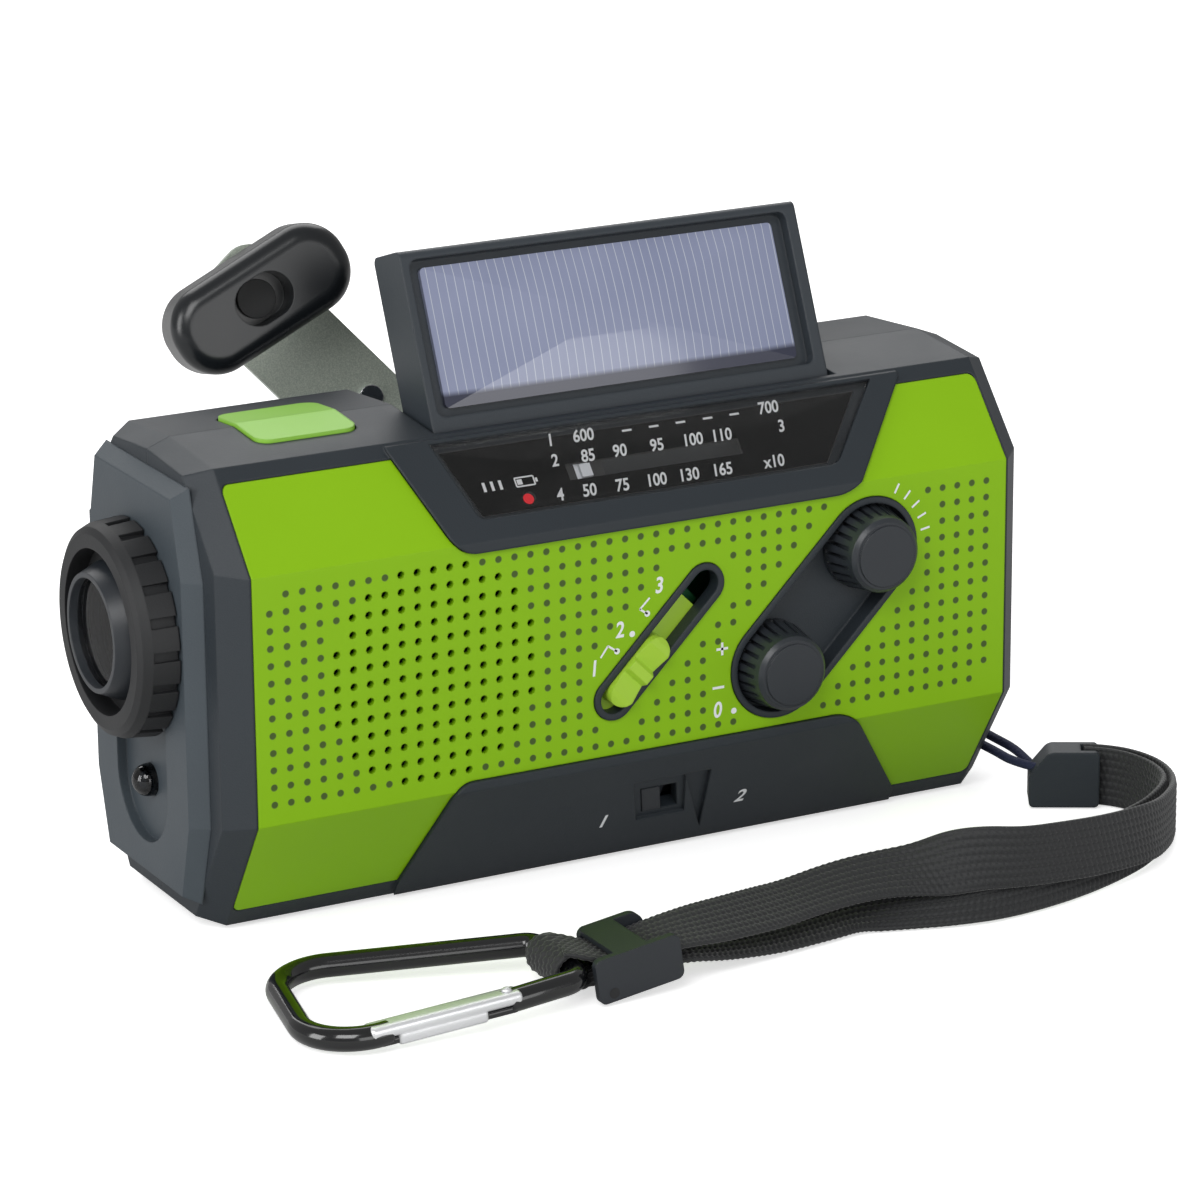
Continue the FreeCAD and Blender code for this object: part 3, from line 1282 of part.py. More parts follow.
# ---- every piece, by name ----
def group(*shapes):
    """Separate solids that share a node."""
    return Part.makeCompound([solid for shape in shapes for solid in shape.Solids])


def pieces():
    return {
        "front_case": frontShell(), "rear_case": rearShell(), "front_panel": frontPanel(),
        "dial_window": dialWindow(), "dial_scale": group(dialScale(), tuningLamp()), "dial_pointer": dialPointer(),
        "tuning_knob": knob(tuneX, tuneZ), "tuning_capacitor": pot(tuneX, tuneZ, 18.0),
        "volume_knob": knob(volumeX, volumeZ), "volume_control": pot(volumeX, volumeZ, 15.0),
        "band_slider": bandSlider(),
        "battery_selector": batterySelector(), "selector_switch": selectorSwitch(),
        "lamp_button": lampButton(), "button_board": group(buttonBoard(), tactSwitches()),
        "solar_lid": solarLid(), "lid_hinge_pins": lidPins(), "solar_cell": group(solarCell(), solarCover()),
        "lid_back_plate": lidBack(), "reading_lamp_lens": readingLens(),
        "reading_lamp_board": group(readingBoard(), readingLamps()),
        "end_cap": endCap(), "light_sensor": sensorDome(), "torch_head": torchHead(), "torch_bezel": torchBezel(),
        "torch_lens": torchLens(), "torch_reflector": torchReflector(), "torch_board": group(torchBoard(), torchLamp()),
        "speaker": group(speakerFrame(), speakerMagnet(), speakerCone()),
        "main_board": group(mainBoard(), boardChips(), bandSwitch()),
        "lithium_cell": lithiumCell(), "aaa_cells": aaaCells(), "battery_contacts": cellContacts(),
        "battery_door": batteryDoor(), "rubber_feet": rubberFeet(),
        "crank_hub": crankHub(), "crank_shaft": crankShaft(), "crank_fold_pin": foldPin(), "crank_arm": crankArm(),
        "arm_rivet": armRivet(), "grip_post": gripPost(), "crank_grip": crankGrip(),
        "drive_gear": driveGear(), "idler_gear": idlerGear(), "generator_pinion": generatorPinion(),
        "generator": generator(), "gear_plate": group(gearPlate(), idlerAxle()),
        "ferrite_aerial": group(ferriteRod(), aerialCoil()),
        "antenna_base": antennaBase(), "antenna_middle": antennaMiddle(), "antenna_tip": antennaTip(),
        "charge_board": group(chargeBoard(), usbPorts()), "port_cover": portCover(),
        "screws": group(caseScrews(), boardScrews(), plateScrews(), pivotScrew()),
        "strap_clip": strapClip(), "lanyard_cord": lanyardCord(), "wrist_strap": wristStrap(), "strap_buckle": strapBuckle(),
        "carabiner_ring": group(carabinerBody(), gatePin()), "carabiner_gate": carabinerGate(),
    }


os.makedirs("parts", exist_ok=True)
for name, shape in pieces().items():
    print(name, len(shape.Solids), "solid(s)", round(shape.Volume), "mm3", "" if shape.isValid() else "NOT VALID")
    shape.exportStep("parts/" + name + ".step")
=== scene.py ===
import math
import bpy
import numpy as np
from mathutils import Matrix, Vector
from mathutils.bvhtree import BVHTree


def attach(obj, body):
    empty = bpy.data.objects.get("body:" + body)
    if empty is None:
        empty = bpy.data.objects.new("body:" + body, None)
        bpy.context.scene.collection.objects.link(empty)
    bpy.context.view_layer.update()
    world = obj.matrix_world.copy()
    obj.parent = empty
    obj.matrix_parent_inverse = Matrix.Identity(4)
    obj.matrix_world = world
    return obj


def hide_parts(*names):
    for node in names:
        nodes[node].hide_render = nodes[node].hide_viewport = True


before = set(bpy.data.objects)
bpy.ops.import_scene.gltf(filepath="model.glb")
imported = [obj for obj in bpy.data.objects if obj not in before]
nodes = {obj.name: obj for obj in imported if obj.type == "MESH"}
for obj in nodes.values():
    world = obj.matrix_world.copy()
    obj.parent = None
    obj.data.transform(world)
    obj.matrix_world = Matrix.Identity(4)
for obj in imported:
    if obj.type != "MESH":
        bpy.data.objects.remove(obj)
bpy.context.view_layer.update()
scene = bpy.context.scene
print("frame loaded")

mm = 0.001


# Camera, solved from the case's straight edges.
camera = dict(
    centre=(-0.35896, -0.68447, 0.27942),
    right=(0.88047, -0.47403, -0.00795),
    down=(-0.14759, -0.25811, -0.95478),
    forward=(0.45054, 0.84182, -0.29722),
    lens=151.19,
    sensor=36.0,
)


def addCamera(s):
    data = bpy.data.cameras.new("camera")
    data.lens = s["lens"]
    data.sensor_width = s["sensor"]
    data.clip_start = 0.05
    data.clip_end = 50.0
    obj = bpy.data.objects.new("camera", data)
    right, down, forward = Vector(s["right"]), Vector(s["down"]), Vector(s["forward"])
    turn = Matrix((right, -down, -forward)).transposed().to_4x4()
    obj.matrix_world = Matrix.Translation(s["centre"]) @ turn
    scene.collection.objects.link(obj)
    scene.camera = obj


addCamera(camera)
scene.view_settings.view_transform = "Standard"


# Making pieces.
# One piece from arrays of points and faces, riding on a body.
def addMesh(name, points, faces, body, material, smooth=True):
    mesh = bpy.data.meshes.new(name)
    mesh.from_pydata(np.asarray(points, float).tolist(), [], [list(map(int, f)) for f in faces])
    mesh.update()
    mesh.polygons.foreach_set("use_smooth", np.full(len(mesh.polygons), smooth))
    obj = bpy.data.objects.new(name, mesh)
    scene.collection.objects.link(obj)
    mesh.materials.append(material)
    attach(obj, body)
    return obj


# Quads of a tube's rings, each of so many points.
def gridFaces(rows, columns, closed=True):
    last = columns if closed else columns - 1
    i, j = np.meshgrid(np.arange(rows - 1), np.arange(last), indexing="ij")
    k = (j + 1) % columns
    quads = [i * columns + j, i * columns + k, (i + 1) * columns + k, (i + 1) * columns + j]
    return np.stack([q.ravel() for q in quads], 1)


# Gathers flat marks into one piece.
class Sheet:
    def __init__(self):
        self.points, self.faces, self.count = [], [], 0

    def add(self, points, faces):
        self.points.append(np.asarray(points))
        self.faces += [tuple(i + self.count for i in f) for f in faces]
        self.count += len(points)

    def piece(self, name, body, material):
        return addMesh(name, np.concatenate(self.points), self.faces, body, material, smooth=False)


def discPoints(radius, count=20):
    a = np.arange(count) * 2 * math.pi / count
    return np.stack([radius * np.cos(a), radius * np.sin(a)], 1)


# Materials.
# A screen colour, written as six hex digits, as linear light.
def linear(text, alpha=1.0):
    values = [int(text[i:i + 2], 16) / 255 for i in (0, 2, 4)]
    return tuple(v / 12.92 if v < 0.04045 else ((v + 0.055) / 1.055) ** 2.4 for v in values) + (alpha,)


# A shader node. An input's name has its spaces as underscores, or is i and its number.
def addNode(tree, kind, settings=None, **inputs):
    node = tree.nodes.new(kind)
    for name, value in (settings or {}).items():
        setattr(node, name, value)
    for name, value in inputs.items():
        key = int(name[1:]) if name[0] == "i" and name[1:].isdigit() else name.replace("_", " ")
        if isinstance(value, bpy.types.NodeSocket):
            tree.links.new(value, node.inputs[key])
        else:
            node.inputs[key].default_value = value
    return node


def newMaterial(name):
    material = bpy.data.materials.new(name)
    material.use_nodes = True
    tree = material.node_tree
    tree.nodes.clear()
    return material, tree


def finishMaterial(material, tree, shader):
    addNode(tree, "ShaderNodeOutputMaterial", Surface=shader)
    return material


# Moulded plastic, rubber or metal: grain and bump are the texture's size and depth in mm, tint the
# share by which broad patches vary, edge the rounding of sharp corners in mm.
def surface(name, colour, rough, grain=0.3, bump=0.02, tint=0.05, edge=0.3, **extra):
    material, tree = newMaterial(name)
    at = addNode(tree, "ShaderNodeTexCoord").outputs["Object"]
    fine = addNode(tree, "ShaderNodeTexNoise", Vector=at, Scale=1 / (grain * mm), Detail=2.0)
    broad = addNode(tree, "ShaderNodeTexNoise", Vector=at, Scale=60.0, Detail=3.0)
    dark = tuple(c * (1 - tint) for c in linear(colour)[:3]) + (1.0,)
    light = tuple(min(1, c * (1 + tint)) for c in linear(colour)[:3]) + (1.0,)
    mix = addNode(tree, "ShaderNodeMix", {"data_type": "RGBA"}, i0=broad.outputs["Fac"], i6=dark, i7=light)
    vary = addNode(tree, "ShaderNodeMapRange", Value=broad.outputs["Fac"], From_Min=0.3, From_Max=0.7)
    vary.inputs["To Min"].default_value = rough * 0.92
    vary.inputs["To Max"].default_value = min(1.0, rough * 1.08)
    round_ = addNode(tree, "ShaderNodeBevel", {"samples": 4}, Radius=edge * mm)
    normal = addNode(tree, "ShaderNodeBump", Height=fine.outputs["Fac"], Distance=bump * mm)
    tree.links.new(round_.outputs[0], normal.inputs["Normal"])
    shader = addNode(tree, "ShaderNodeBsdfPrincipled", Base_Color=mix.outputs[2], Roughness=vary.outputs[0])
    tree.links.new(normal.outputs[0], shader.inputs["Normal"])
    for key, value in extra.items():
        shader.inputs[key.replace("_", " ")].default_value = value
    return finishMaterial(material, tree, shader.outputs[0])


# A thin clear window: what is behind shows, under its own reflection.
def clear(name, tint="FFFFFF", rough=0.02, index=1.49):
    material, tree = newMaterial(name)
    through = addNode(tree, "ShaderNodeBsdfTransparent", Color=linear(tint))
    mirror = addNode(tree, "ShaderNodeBsdfGlossy", Roughness=rough)
    share = addNode(tree, "ShaderNodeFresnel", IOR=index)
    parts = dict(i0=share.outputs[0], i1=through.outputs[0], i2=mirror.outputs[0])
    mix = addNode(tree, "ShaderNodeMixShader", **parts)
    return finishMaterial(material, tree, mix.outputs[0])


# Blue silicon under resin, lightened to pale lavender by painted reflection: silver fingers every 1.5 mm
# along X, a dark strip at the foot.
def solarGlass(name):
    material, tree = newMaterial(name)
    at = addNode(tree, "ShaderNodeTexCoord").outputs["Object"]
    split = addNode(tree, "ShaderNodeSeparateXYZ", Vector=at)
    step = addNode(tree, "ShaderNodeMath", {"operation": "PINGPONG"}, i0=split.outputs["X"], i1=0.75 * mm)
    finger = addNode(tree, "ShaderNodeMapRange", Value=step.outputs[0],
                     From_Min=0.08 * mm, From_Max=0.03 * mm)
    foot = addNode(tree, "ShaderNodeMapRange", Value=split.outputs["Z"], From_Min=0.0790, From_Max=0.0782)
    cloud = addNode(tree, "ShaderNodeTexNoise", Vector=at, Scale=45.0, Detail=3.0)
    # pale lavender patches: the cell's blue, lightened by painted reflection of the bright surroundings
    cell = addNode(tree, "ShaderNodeMix", {"data_type": "RGBA"}, i0=cloud.outputs["Fac"])
    cell.inputs[6].default_value = linear("757D9A")
    cell.inputs[7].default_value = linear("9399B4")
    lined = addNode(tree, "ShaderNodeMix", {"data_type": "RGBA"}, i0=finger.outputs[0], i6=cell.outputs[2])
    lined.inputs[7].default_value = linear("BCC1CC")
    footed = addNode(tree, "ShaderNodeMix", {"data_type": "RGBA"}, i0=foot.outputs[0], i6=lined.outputs[2])
    footed.inputs[7].default_value = linear("20243C")
    shader = addNode(tree, "ShaderNodeBsdfPrincipled", Base_Color=footed.outputs[2],
                     Roughness=0.32, Coat_Weight=1.0)
    shader.inputs["Coat Roughness"].default_value = 0.05
    return finishMaterial(material, tree, shader.outputs[0])


# Olive grey enamel with a fine dark and light fleck, both lightened as painted reflection of the bright
# surroundings.
def speckled(name):
    material, tree = newMaterial(name)
    at = addNode(tree, "ShaderNodeTexCoord").outputs["Object"]
    fleck = addNode(tree, "ShaderNodeTexNoise", Vector=at, Scale=1 / (0.22 * mm), Detail=4.0)
    ramp = addNode(tree, "ShaderNodeValToRGB", Fac=fleck.outputs["Fac"])
    # the fleck colours carry painted reflection: lighter than the enamel's own olive grey
    ramp.color_ramp.elements[0].position = 0.38
    ramp.color_ramp.elements[0].color = linear("A4ADA2")
    ramp.color_ramp.elements[1].position = 0.66
    ramp.color_ramp.elements[1].color = linear("C2CABD")
    normal = addNode(tree, "ShaderNodeBump", Height=fleck.outputs["Fac"], Distance=0.02 * mm)
    shader = addNode(tree, "ShaderNodeBsdfPrincipled", Base_Color=ramp.outputs[0],
                     Roughness=0.36, Metallic=0.5)
    tree.links.new(normal.outputs[0], shader.inputs["Normal"])
    return finishMaterial(material, tree, shader.outputs[0])


# Dark carriage with a white index, as wide as twice half, where the window shows it.
def pointerPlastic(name, middle, half):
    material, tree = newMaterial(name)
    at = addNode(tree, "ShaderNodeTexCoord").outputs["Object"]
    split = addNode(tree, "ShaderNodeSeparateXYZ", Vector=at)
    off = addNode(tree, "ShaderNodeMath", {"operation": "SUBTRACT"}, i0=split.outputs["X"], i1=middle * mm)
    away = addNode(tree, "ShaderNodeMath", {"operation": "ABSOLUTE"}, i0=off.outputs[0])
    inside = addNode(tree, "ShaderNodeMath", {"operation": "LESS_THAN"}, i0=away.outputs[0], i1=half * mm)
    tone = addNode(tree, "ShaderNodeMix", {"data_type": "RGBA"}, i0=inside.outputs[0], i6=linear("060708"))
    tone.inputs[7].default_value = linear("DADDE2")
    shader = addNode(tree, "ShaderNodeBsdfPrincipled", Base_Color=tone.outputs[2], Roughness=0.4)
    return finishMaterial(material, tree, shader.outputs[0])


def glow(name, colour, strength):
    material, tree = newMaterial(name)
    shader = addNode(tree, "ShaderNodeBsdfPrincipled", Base_Color=linear(colour), Roughness=0.3)
    shader.inputs["Emission Color"].default_value = linear(colour)
    shader.inputs["Emission Strength"].default_value = strength
    return finishMaterial(material, tree, shader.outputs[0])


greenPlastic = surface("green_plastic", "86B80C", 0.46, grain=0.25, bump=0.012, tint=0.03, edge=0.35,
                       Specular_IOR_Level=0.25)
slatePlastic = surface("slate_plastic", "22292F", 0.5, grain=0.3, bump=0.03, tint=0.05, edge=0.5)
capPlastic = surface("cap_plastic", "3B4349", 0.5, grain=0.3, bump=0.03, tint=0.05, edge=0.4)
lidPlastic = surface("lid_plastic", "30363C", 0.42, grain=0.3, bump=0.02, tint=0.04, edge=0.5)
blackGloss = surface("black_gloss_plastic", "14171A", 0.26, grain=0.5, bump=0.003, tint=0.05, edge=0.25)
blackSatin = surface("black_satin_plastic", "25292E", 0.38, grain=0.3, bump=0.012, tint=0.05, edge=0.3)
blackMatte = surface("black_matte_plastic", "17181A", 0.55, grain=0.3, bump=0.02, tint=0.05, edge=0.25)
dialBlack = surface("dial_print", "020303", 0.6, grain=0.4, bump=0.0, tint=0.02, edge=0.05,
                    Specular_IOR_Level=0.1)
knobBlack = surface("knob_plastic", "2A2E33", 0.34, grain=0.3, bump=0.01, tint=0.04, edge=0.25)
buttonGreen = surface("button_plastic", "8CC642", 0.42, grain=0.25, bump=0.012, tint=0.03, edge=0.6)
slideGreen = surface("slide_plastic", "A6CF3A", 0.4, grain=0.25, bump=0.01, tint=0.03, edge=0.3)
plated = surface("plated_reflector", "F4F5F7", 0.22, grain=1.0, bump=0.002,
                 tint=0.01, edge=0.2, Metallic=1.0)
polished = surface("polished_chrome", "E4E5E8", 0.06, grain=1.5, bump=0.002,
                   tint=0.02, edge=0.2, Metallic=1.0)
steel = surface("plain_steel", "A9ABB0", 0.3, grain=0.4, bump=0.006, tint=0.05, edge=0.2, Metallic=1.0)
gateSteel = surface("satin_steel", "EDEEF0", 0.34, grain=0.4, bump=0.004,
                    tint=0.03, edge=0.4, Metallic=0.65)
anodised = surface("black_anodised", "08090B", 0.16, grain=0.5, bump=0.003,
                   tint=0.05, edge=0.2, Coat_Weight=0.6)
boardGreen = surface("board_lacquer", "1C5A34", 0.4, grain=0.4, bump=0.01, tint=0.08, edge=0.1)
nylon = surface("natural_nylon", "E3DFD0", 0.45, grain=0.4, bump=0.01, tint=0.03, edge=0.15)
rubber = surface("rubber", "191A1B", 0.75, grain=0.4, bump=0.02, tint=0.06, edge=0.4)
wrap = surface("cell_wrap", "3E6E55", 0.3, grain=0.6, bump=0.004, tint=0.05, edge=0.3)
ferrite = surface("ferrite", "2A2A2C", 0.6, grain=0.3, bump=0.02, tint=0.08, edge=0.1)
windowClear = clear("clear_window", rough=0.03)
lensClear = clear("clear_lens", rough=0.01, index=1.2)
smokedClear = clear("smoked_resin", tint="8A8F96", rough=0.03, index=1.6)
solar = solarGlass("solar_cell_resin")
enamel = speckled("speckled_enamel")
printWhite = surface("white_print", "E6E8EA", 0.5, grain=0.2, bump=0.0, tint=0.02, edge=0.02)
pointerWhite = pointerPlastic("pointer_plastic", -6.4, 1.25)
tuneRed = glow("red_lamp", "C81E28", 0.35)

finishes = {
    "front_case": slatePlastic, "rear_case": slatePlastic, "front_panel": greenPlastic,
    "dial_window": windowClear, "dial_scale": dialBlack, "dial_pointer": pointerWhite,
    "tuning_knob": knobBlack, "tuning_capacitor": nylon, "volume_knob": knobBlack,
    "volume_control": steel, "band_slider": slideGreen, "battery_selector": blackSatin,
    "selector_switch": steel, "lamp_button": buttonGreen, "button_board": boardGreen,
    "solar_lid": lidPlastic, "lid_hinge_pins": steel, "solar_cell": solar, "lid_back_plate": lidPlastic,
    "reading_lamp_lens": smokedClear, "reading_lamp_board": boardGreen, "end_cap": capPlastic,
    "light_sensor": smokedClear, "torch_head": blackMatte, "torch_bezel": blackSatin,
    "torch_lens": lensClear, "torch_reflector": plated, "torch_board": boardGreen, "speaker": blackMatte,
    "main_board": boardGreen, "lithium_cell": wrap, "aaa_cells": wrap, "battery_contacts": steel,
    "battery_door": slatePlastic, "rubber_feet": rubber, "crank_hub": blackMatte, "crank_shaft": steel,
    "crank_fold_pin": steel, "crank_arm": enamel, "arm_rivet": polished, "grip_post": blackMatte,
    "crank_grip": blackGloss, "drive_gear": nylon, "idler_gear": nylon, "generator_pinion": nylon,
    "generator": steel, "gear_plate": steel, "ferrite_aerial": ferrite, "antenna_base": polished,
    "antenna_middle": polished, "antenna_tip": polished, "charge_board": boardGreen, "port_cover": rubber,
    "screws": steel, "strap_clip": slatePlastic, "strap_buckle": blackSatin, "carabiner_ring": anodised,
    "carabiner_gate": gateSteel,
}


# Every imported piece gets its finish, with soft shading over its rounds.
def dressFrame():
    for name, material in finishes.items():
        obj = nodes[name]
        obj.data.materials.clear()
        obj.data.materials.append(material)
        obj.data.polygons.foreach_set("use_smooth", np.ones(len(obj.data.polygons), bool))
        split = obj.modifiers.new("crisp_edges", "EDGE_SPLIT")
        split.split_angle = math.radians(32)


dressFrame()
print("finishes set")


# Cords.
# A smooth open line whose control points are the route's, in mm.
def splineObject(name, points):
    curve = bpy.data.curves.new(name, "CURVE")
    curve.dimensions = "3D"
    spline = curve.splines.new("NURBS")
    spline.points.add(len(points) - 1)
    flat = np.ones((len(points), 4))
    flat[:, :3] = np.asarray(points) * mm
    spline.points.foreach_set("co", flat.ravel())
    spline.order_u = 3
    spline.use_endpoint_u = True
    spline.resolution_u = 24
    return bpy.data.objects.new(name, curve)


# The line's own points, read back from its spline.
def splinePoints(points):
    obj = splineObject("route", points)
    scene.collection.objects.link(obj)
    bpy.context.view_layer.update()
    mesh = bpy.data.meshes.new_from_object(obj.evaluated_get(bpy.context.evaluated_depsgraph_get()))
    out = np.empty(len(mesh.vertices) * 3)
    mesh.vertices.foreach_get("co", out)
    curve = obj.data
    bpy.data.objects.remove(obj)
    bpy.data.curves.remove(curve)
    bpy.data.meshes.remove(mesh)
    return out.reshape(-1, 3)


# Braided nylon: the yarn's crossings are cells, one pitch apart, raised as bumps.
def braided(name, colour, pitch):
    material, tree = newMaterial(name)
    at = addNode(tree, "ShaderNodeTexCoord").outputs["Object"]
    weave = addNode(tree, "ShaderNodeTexVoronoi", Vector=at, Scale=1 / (pitch * mm))
    normal = addNode(tree, "ShaderNodeBump", Height=weave.outputs["Distance"], Distance=0.12 * mm)
    shader = addNode(tree, "ShaderNodeBsdfPrincipled", Base_Color=linear(colour), Roughness=0.8)
    tree.links.new(normal.outputs[0], shader.inputs["Normal"])
    return finishMaterial(material, tree, shader.outputs[0])


lanyard = dict(
    route=[
        (73.3, -29.4, 6.6), (71.4, -24.4, 6.5), (71.9, -17.6, 6.4), (71.75, -11.6, 6.4),
        (71.75, -6.15, 6.45), (75.45, -6.15, 6.5), (75.45, -11.6, 6.4), (75.9, -17.8, 6.1),
        (75.1, -23.8, 5.4), (74.9, -28.9, 4.4),
    ],
    thick=1.5,
)


def makeLanyard(s):
    obj = splineObject("lanyard", s["route"])
    scene.collection.objects.link(obj)
    obj.data.bevel_depth = s["thick"] / 2 * mm
    obj.data.bevel_resolution = 4
    obj.data.use_fill_caps = True
    obj.data.materials.append(braided("navy_braid", "1A2140", 0.5))
    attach(obj, "case")
    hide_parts("lanyard_cord")
    line = splinePoints(s["route"])


makeLanyard(lanyard)

# Carabiner.
# Runs between corners, each corner an arc of its radius, as points in mm.
def roundedPath(corners, step=0.35):
    points = [np.array(corners[0][:2], float)]
    for (p, q, r) in zip(corners[:-2], corners[1:-1], corners[2:]):
        here, one, two = (np.array(k[:2], float) for k in (q, p, r))
        one = (one - here) / np.linalg.norm(one - here)
        two = (two - here) / np.linalg.norm(two - here)
        half = math.acos(float(np.clip(one @ two, -1, 1))) / 2
        back, toCentre = q[2] / math.tan(half), q[2] / math.sin(half)
        centre = here + (one + two) / np.linalg.norm(one + two) * toCentre
        start, end = here + one * back - centre, here + two * back - centre
        a0, a1 = math.atan2(start[1], start[0]), math.atan2(end[1], end[0])
        turn = (a1 - a0 + math.pi) % (2 * math.pi) - math.pi
        a = a0 + turn * np.linspace(0, 1, max(3, int(abs(turn) * q[2] / step)))
        points += list(centre + q[2] * np.stack([np.cos(a), np.sin(a)], 1))
    points.append(np.array(corners[-1][:2], float))
    return np.array(points)


# Rings of a superellipse along a path, with rounded and closed ends, in mm.
def sweptBar(path, half, tall, power=2.0, count=28, endRound=0.5):
    path = np.asarray(path, float)
    way = np.gradient(path, axis=0)
    way /= np.linalg.norm(way, axis=1)[:, None]
    half, tall = np.broadcast_to(half, len(path)), np.broadcast_to(tall, len(path))
    a = np.arange(count) * 2 * math.pi / count
    across = np.sign(np.cos(a)) * np.abs(np.cos(a)) ** (2 / power)
    high = np.sign(np.sin(a)) * np.abs(np.sin(a)) ** (2 / power)
    side = np.cross(way, [0, 0, 1.0])
    side /= np.linalg.norm(side, axis=1)[:, None]
    up = np.cross(side, way)
    rings = []
    for end in (0, 1, 2):
        if end == 1:
            rings += [(k, 0.0, 0.0) for k in range(len(path))]
            continue
        for f in (np.linspace(1, 0.12, 4) if end == 0 else np.linspace(0.12, 1, 4)):
            out = endRound * math.sin(f * math.pi / 2)
            inset = endRound * (1 - math.cos(f * math.pi / 2))
            rings.append((0, -out, inset) if end == 0 else (len(path) - 1, out, inset))
    points = []
    for k, out, inset in rings:
        w, h = half[k] - inset, tall[k] - inset
        points.append(path[k] + way[k] * out + np.outer(across * w, side[k]) + np.outer(high * h, up[k]))
    quads = gridFaces(len(rings), count).tolist()
    last = (len(rings) - 1) * count
    quads += [list(range(count))[::-1], list(range(last, last + count))]
    return np.concatenate(points), quads


carabiner = dict(
    corners=[
        (-46.4, -71.6, 0), (-33.8, -70.6, 3.4), (-33.6, -54.5, 2.6), (-71.5, -40.0, 8.0),
        (-78.0, -72.0, 8.4), (-66.4, -71.35, 0),
    ],
    bar=1.85,
    gateLine=dict(x=-69, y=-71.3, slope=0.011),
    tongues=dict(spans=[(-51.4, -46.0), (-67.4, -64.6)], low=-1.0, half=1.45, tall=0.72, power=3.0),
    # from x, to x, height over the ring's plane, half width, half height, squareness
    sleeves=[(-69.0, -45.6, 0.72, 1.85, 1.05, 3.2), (-64.6, -51.2, -0.75, 1.8, 1.15, 4.0)],
    rivet=dict(place=(-47.0, -71.6), lift=1.6, radius=0.85, high=0.75, sides=20, rings=6),
    pinEnd=dict(place=(-29.5, -72.54, 2.1), radius=0.85, sides=24),
)


# The ring leans on its hinge end, so its bar rises evenly along X.
def ringLift(x):
    return 2.2 + (x + 77.0) / 43.0 * 2.4


def lifted(flat, extra=0.0):
    flat = np.asarray(flat, float)
    return np.column_stack([flat, ringLift(flat[:, 0]) + extra])


# A straight run on the gate's line between two places along X.
def gateRun(s, a, b):
    line = s["gateLine"]
    return [(x, line["y"] - (x - line["x"]) * line["slope"]) for x in (a, b)]


def shadeSmooth(obj):
    obj.data.polygons.foreach_set("use_smooth", np.ones(len(obj.data.polygons), bool))


def makeCarabiner(s):
    ring = Sheet()
    points, faces = sweptBar(lifted(roundedPath(s["corners"])), s["bar"], s["bar"])
    ring.add(points * mm, faces)
    tongue = s["tongues"]
    for a, b in tongue["spans"]:
        run = lifted(gateRun(s, a, b), tongue["low"])
        points, faces = sweptBar(run, tongue["half"], tongue["tall"], power=tongue["power"])
        ring.add(points * mm, faces)
    body = ring.piece("carabiner", "case", anodised)
    shadeSmooth(body)
    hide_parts("carabiner_ring")
    gate = Sheet()
    for a, b, low, half, tall, power in s["sleeves"]:
        points, faces = sweptBar(lifted(gateRun(s, a, b), low), half, tall, power=power)
        gate.add(points * mm, faces)
    # the rivet's head is a quarter ellipse turned about its axis
    head = s["rivet"]
    centre = lifted([head["place"]], head["lift"])[0]
    turns = np.arange(head["sides"]) * 2 * math.pi / head["sides"]
    a, f = np.meshgrid(turns, np.linspace(0, 1, head["rings"]))
    out, rise = head["radius"] * np.cos(f * math.pi / 2), head["high"] * np.sin(f * math.pi / 2)
    dome = np.stack([centre[0] + out * np.cos(a), centre[1] + out * np.sin(a), centre[2] + rise], 2)
    gate.add(dome.reshape(-1, 3) * mm, gridFaces(head["rings"], head["sides"]))
    sleeve = gate.piece("gate_sleeve", "gate", gateSteel)
    shadeSmooth(sleeve)
    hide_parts("carabiner_gate")
    pin, tip = Sheet(), s["pinEnd"]
    rim = discPoints(tip["radius"], tip["sides"])
    x, y, z = tip["place"]
    flat = np.column_stack([rim[:, 0] + x, np.full(tip["sides"], y), rim[:, 1] + z])
    pin.add(flat * mm, [tuple(range(tip["sides"]))])
    end = pin.piece("buckle_pin_end", "case", blackMatte)
    return [body, sleeve, end]


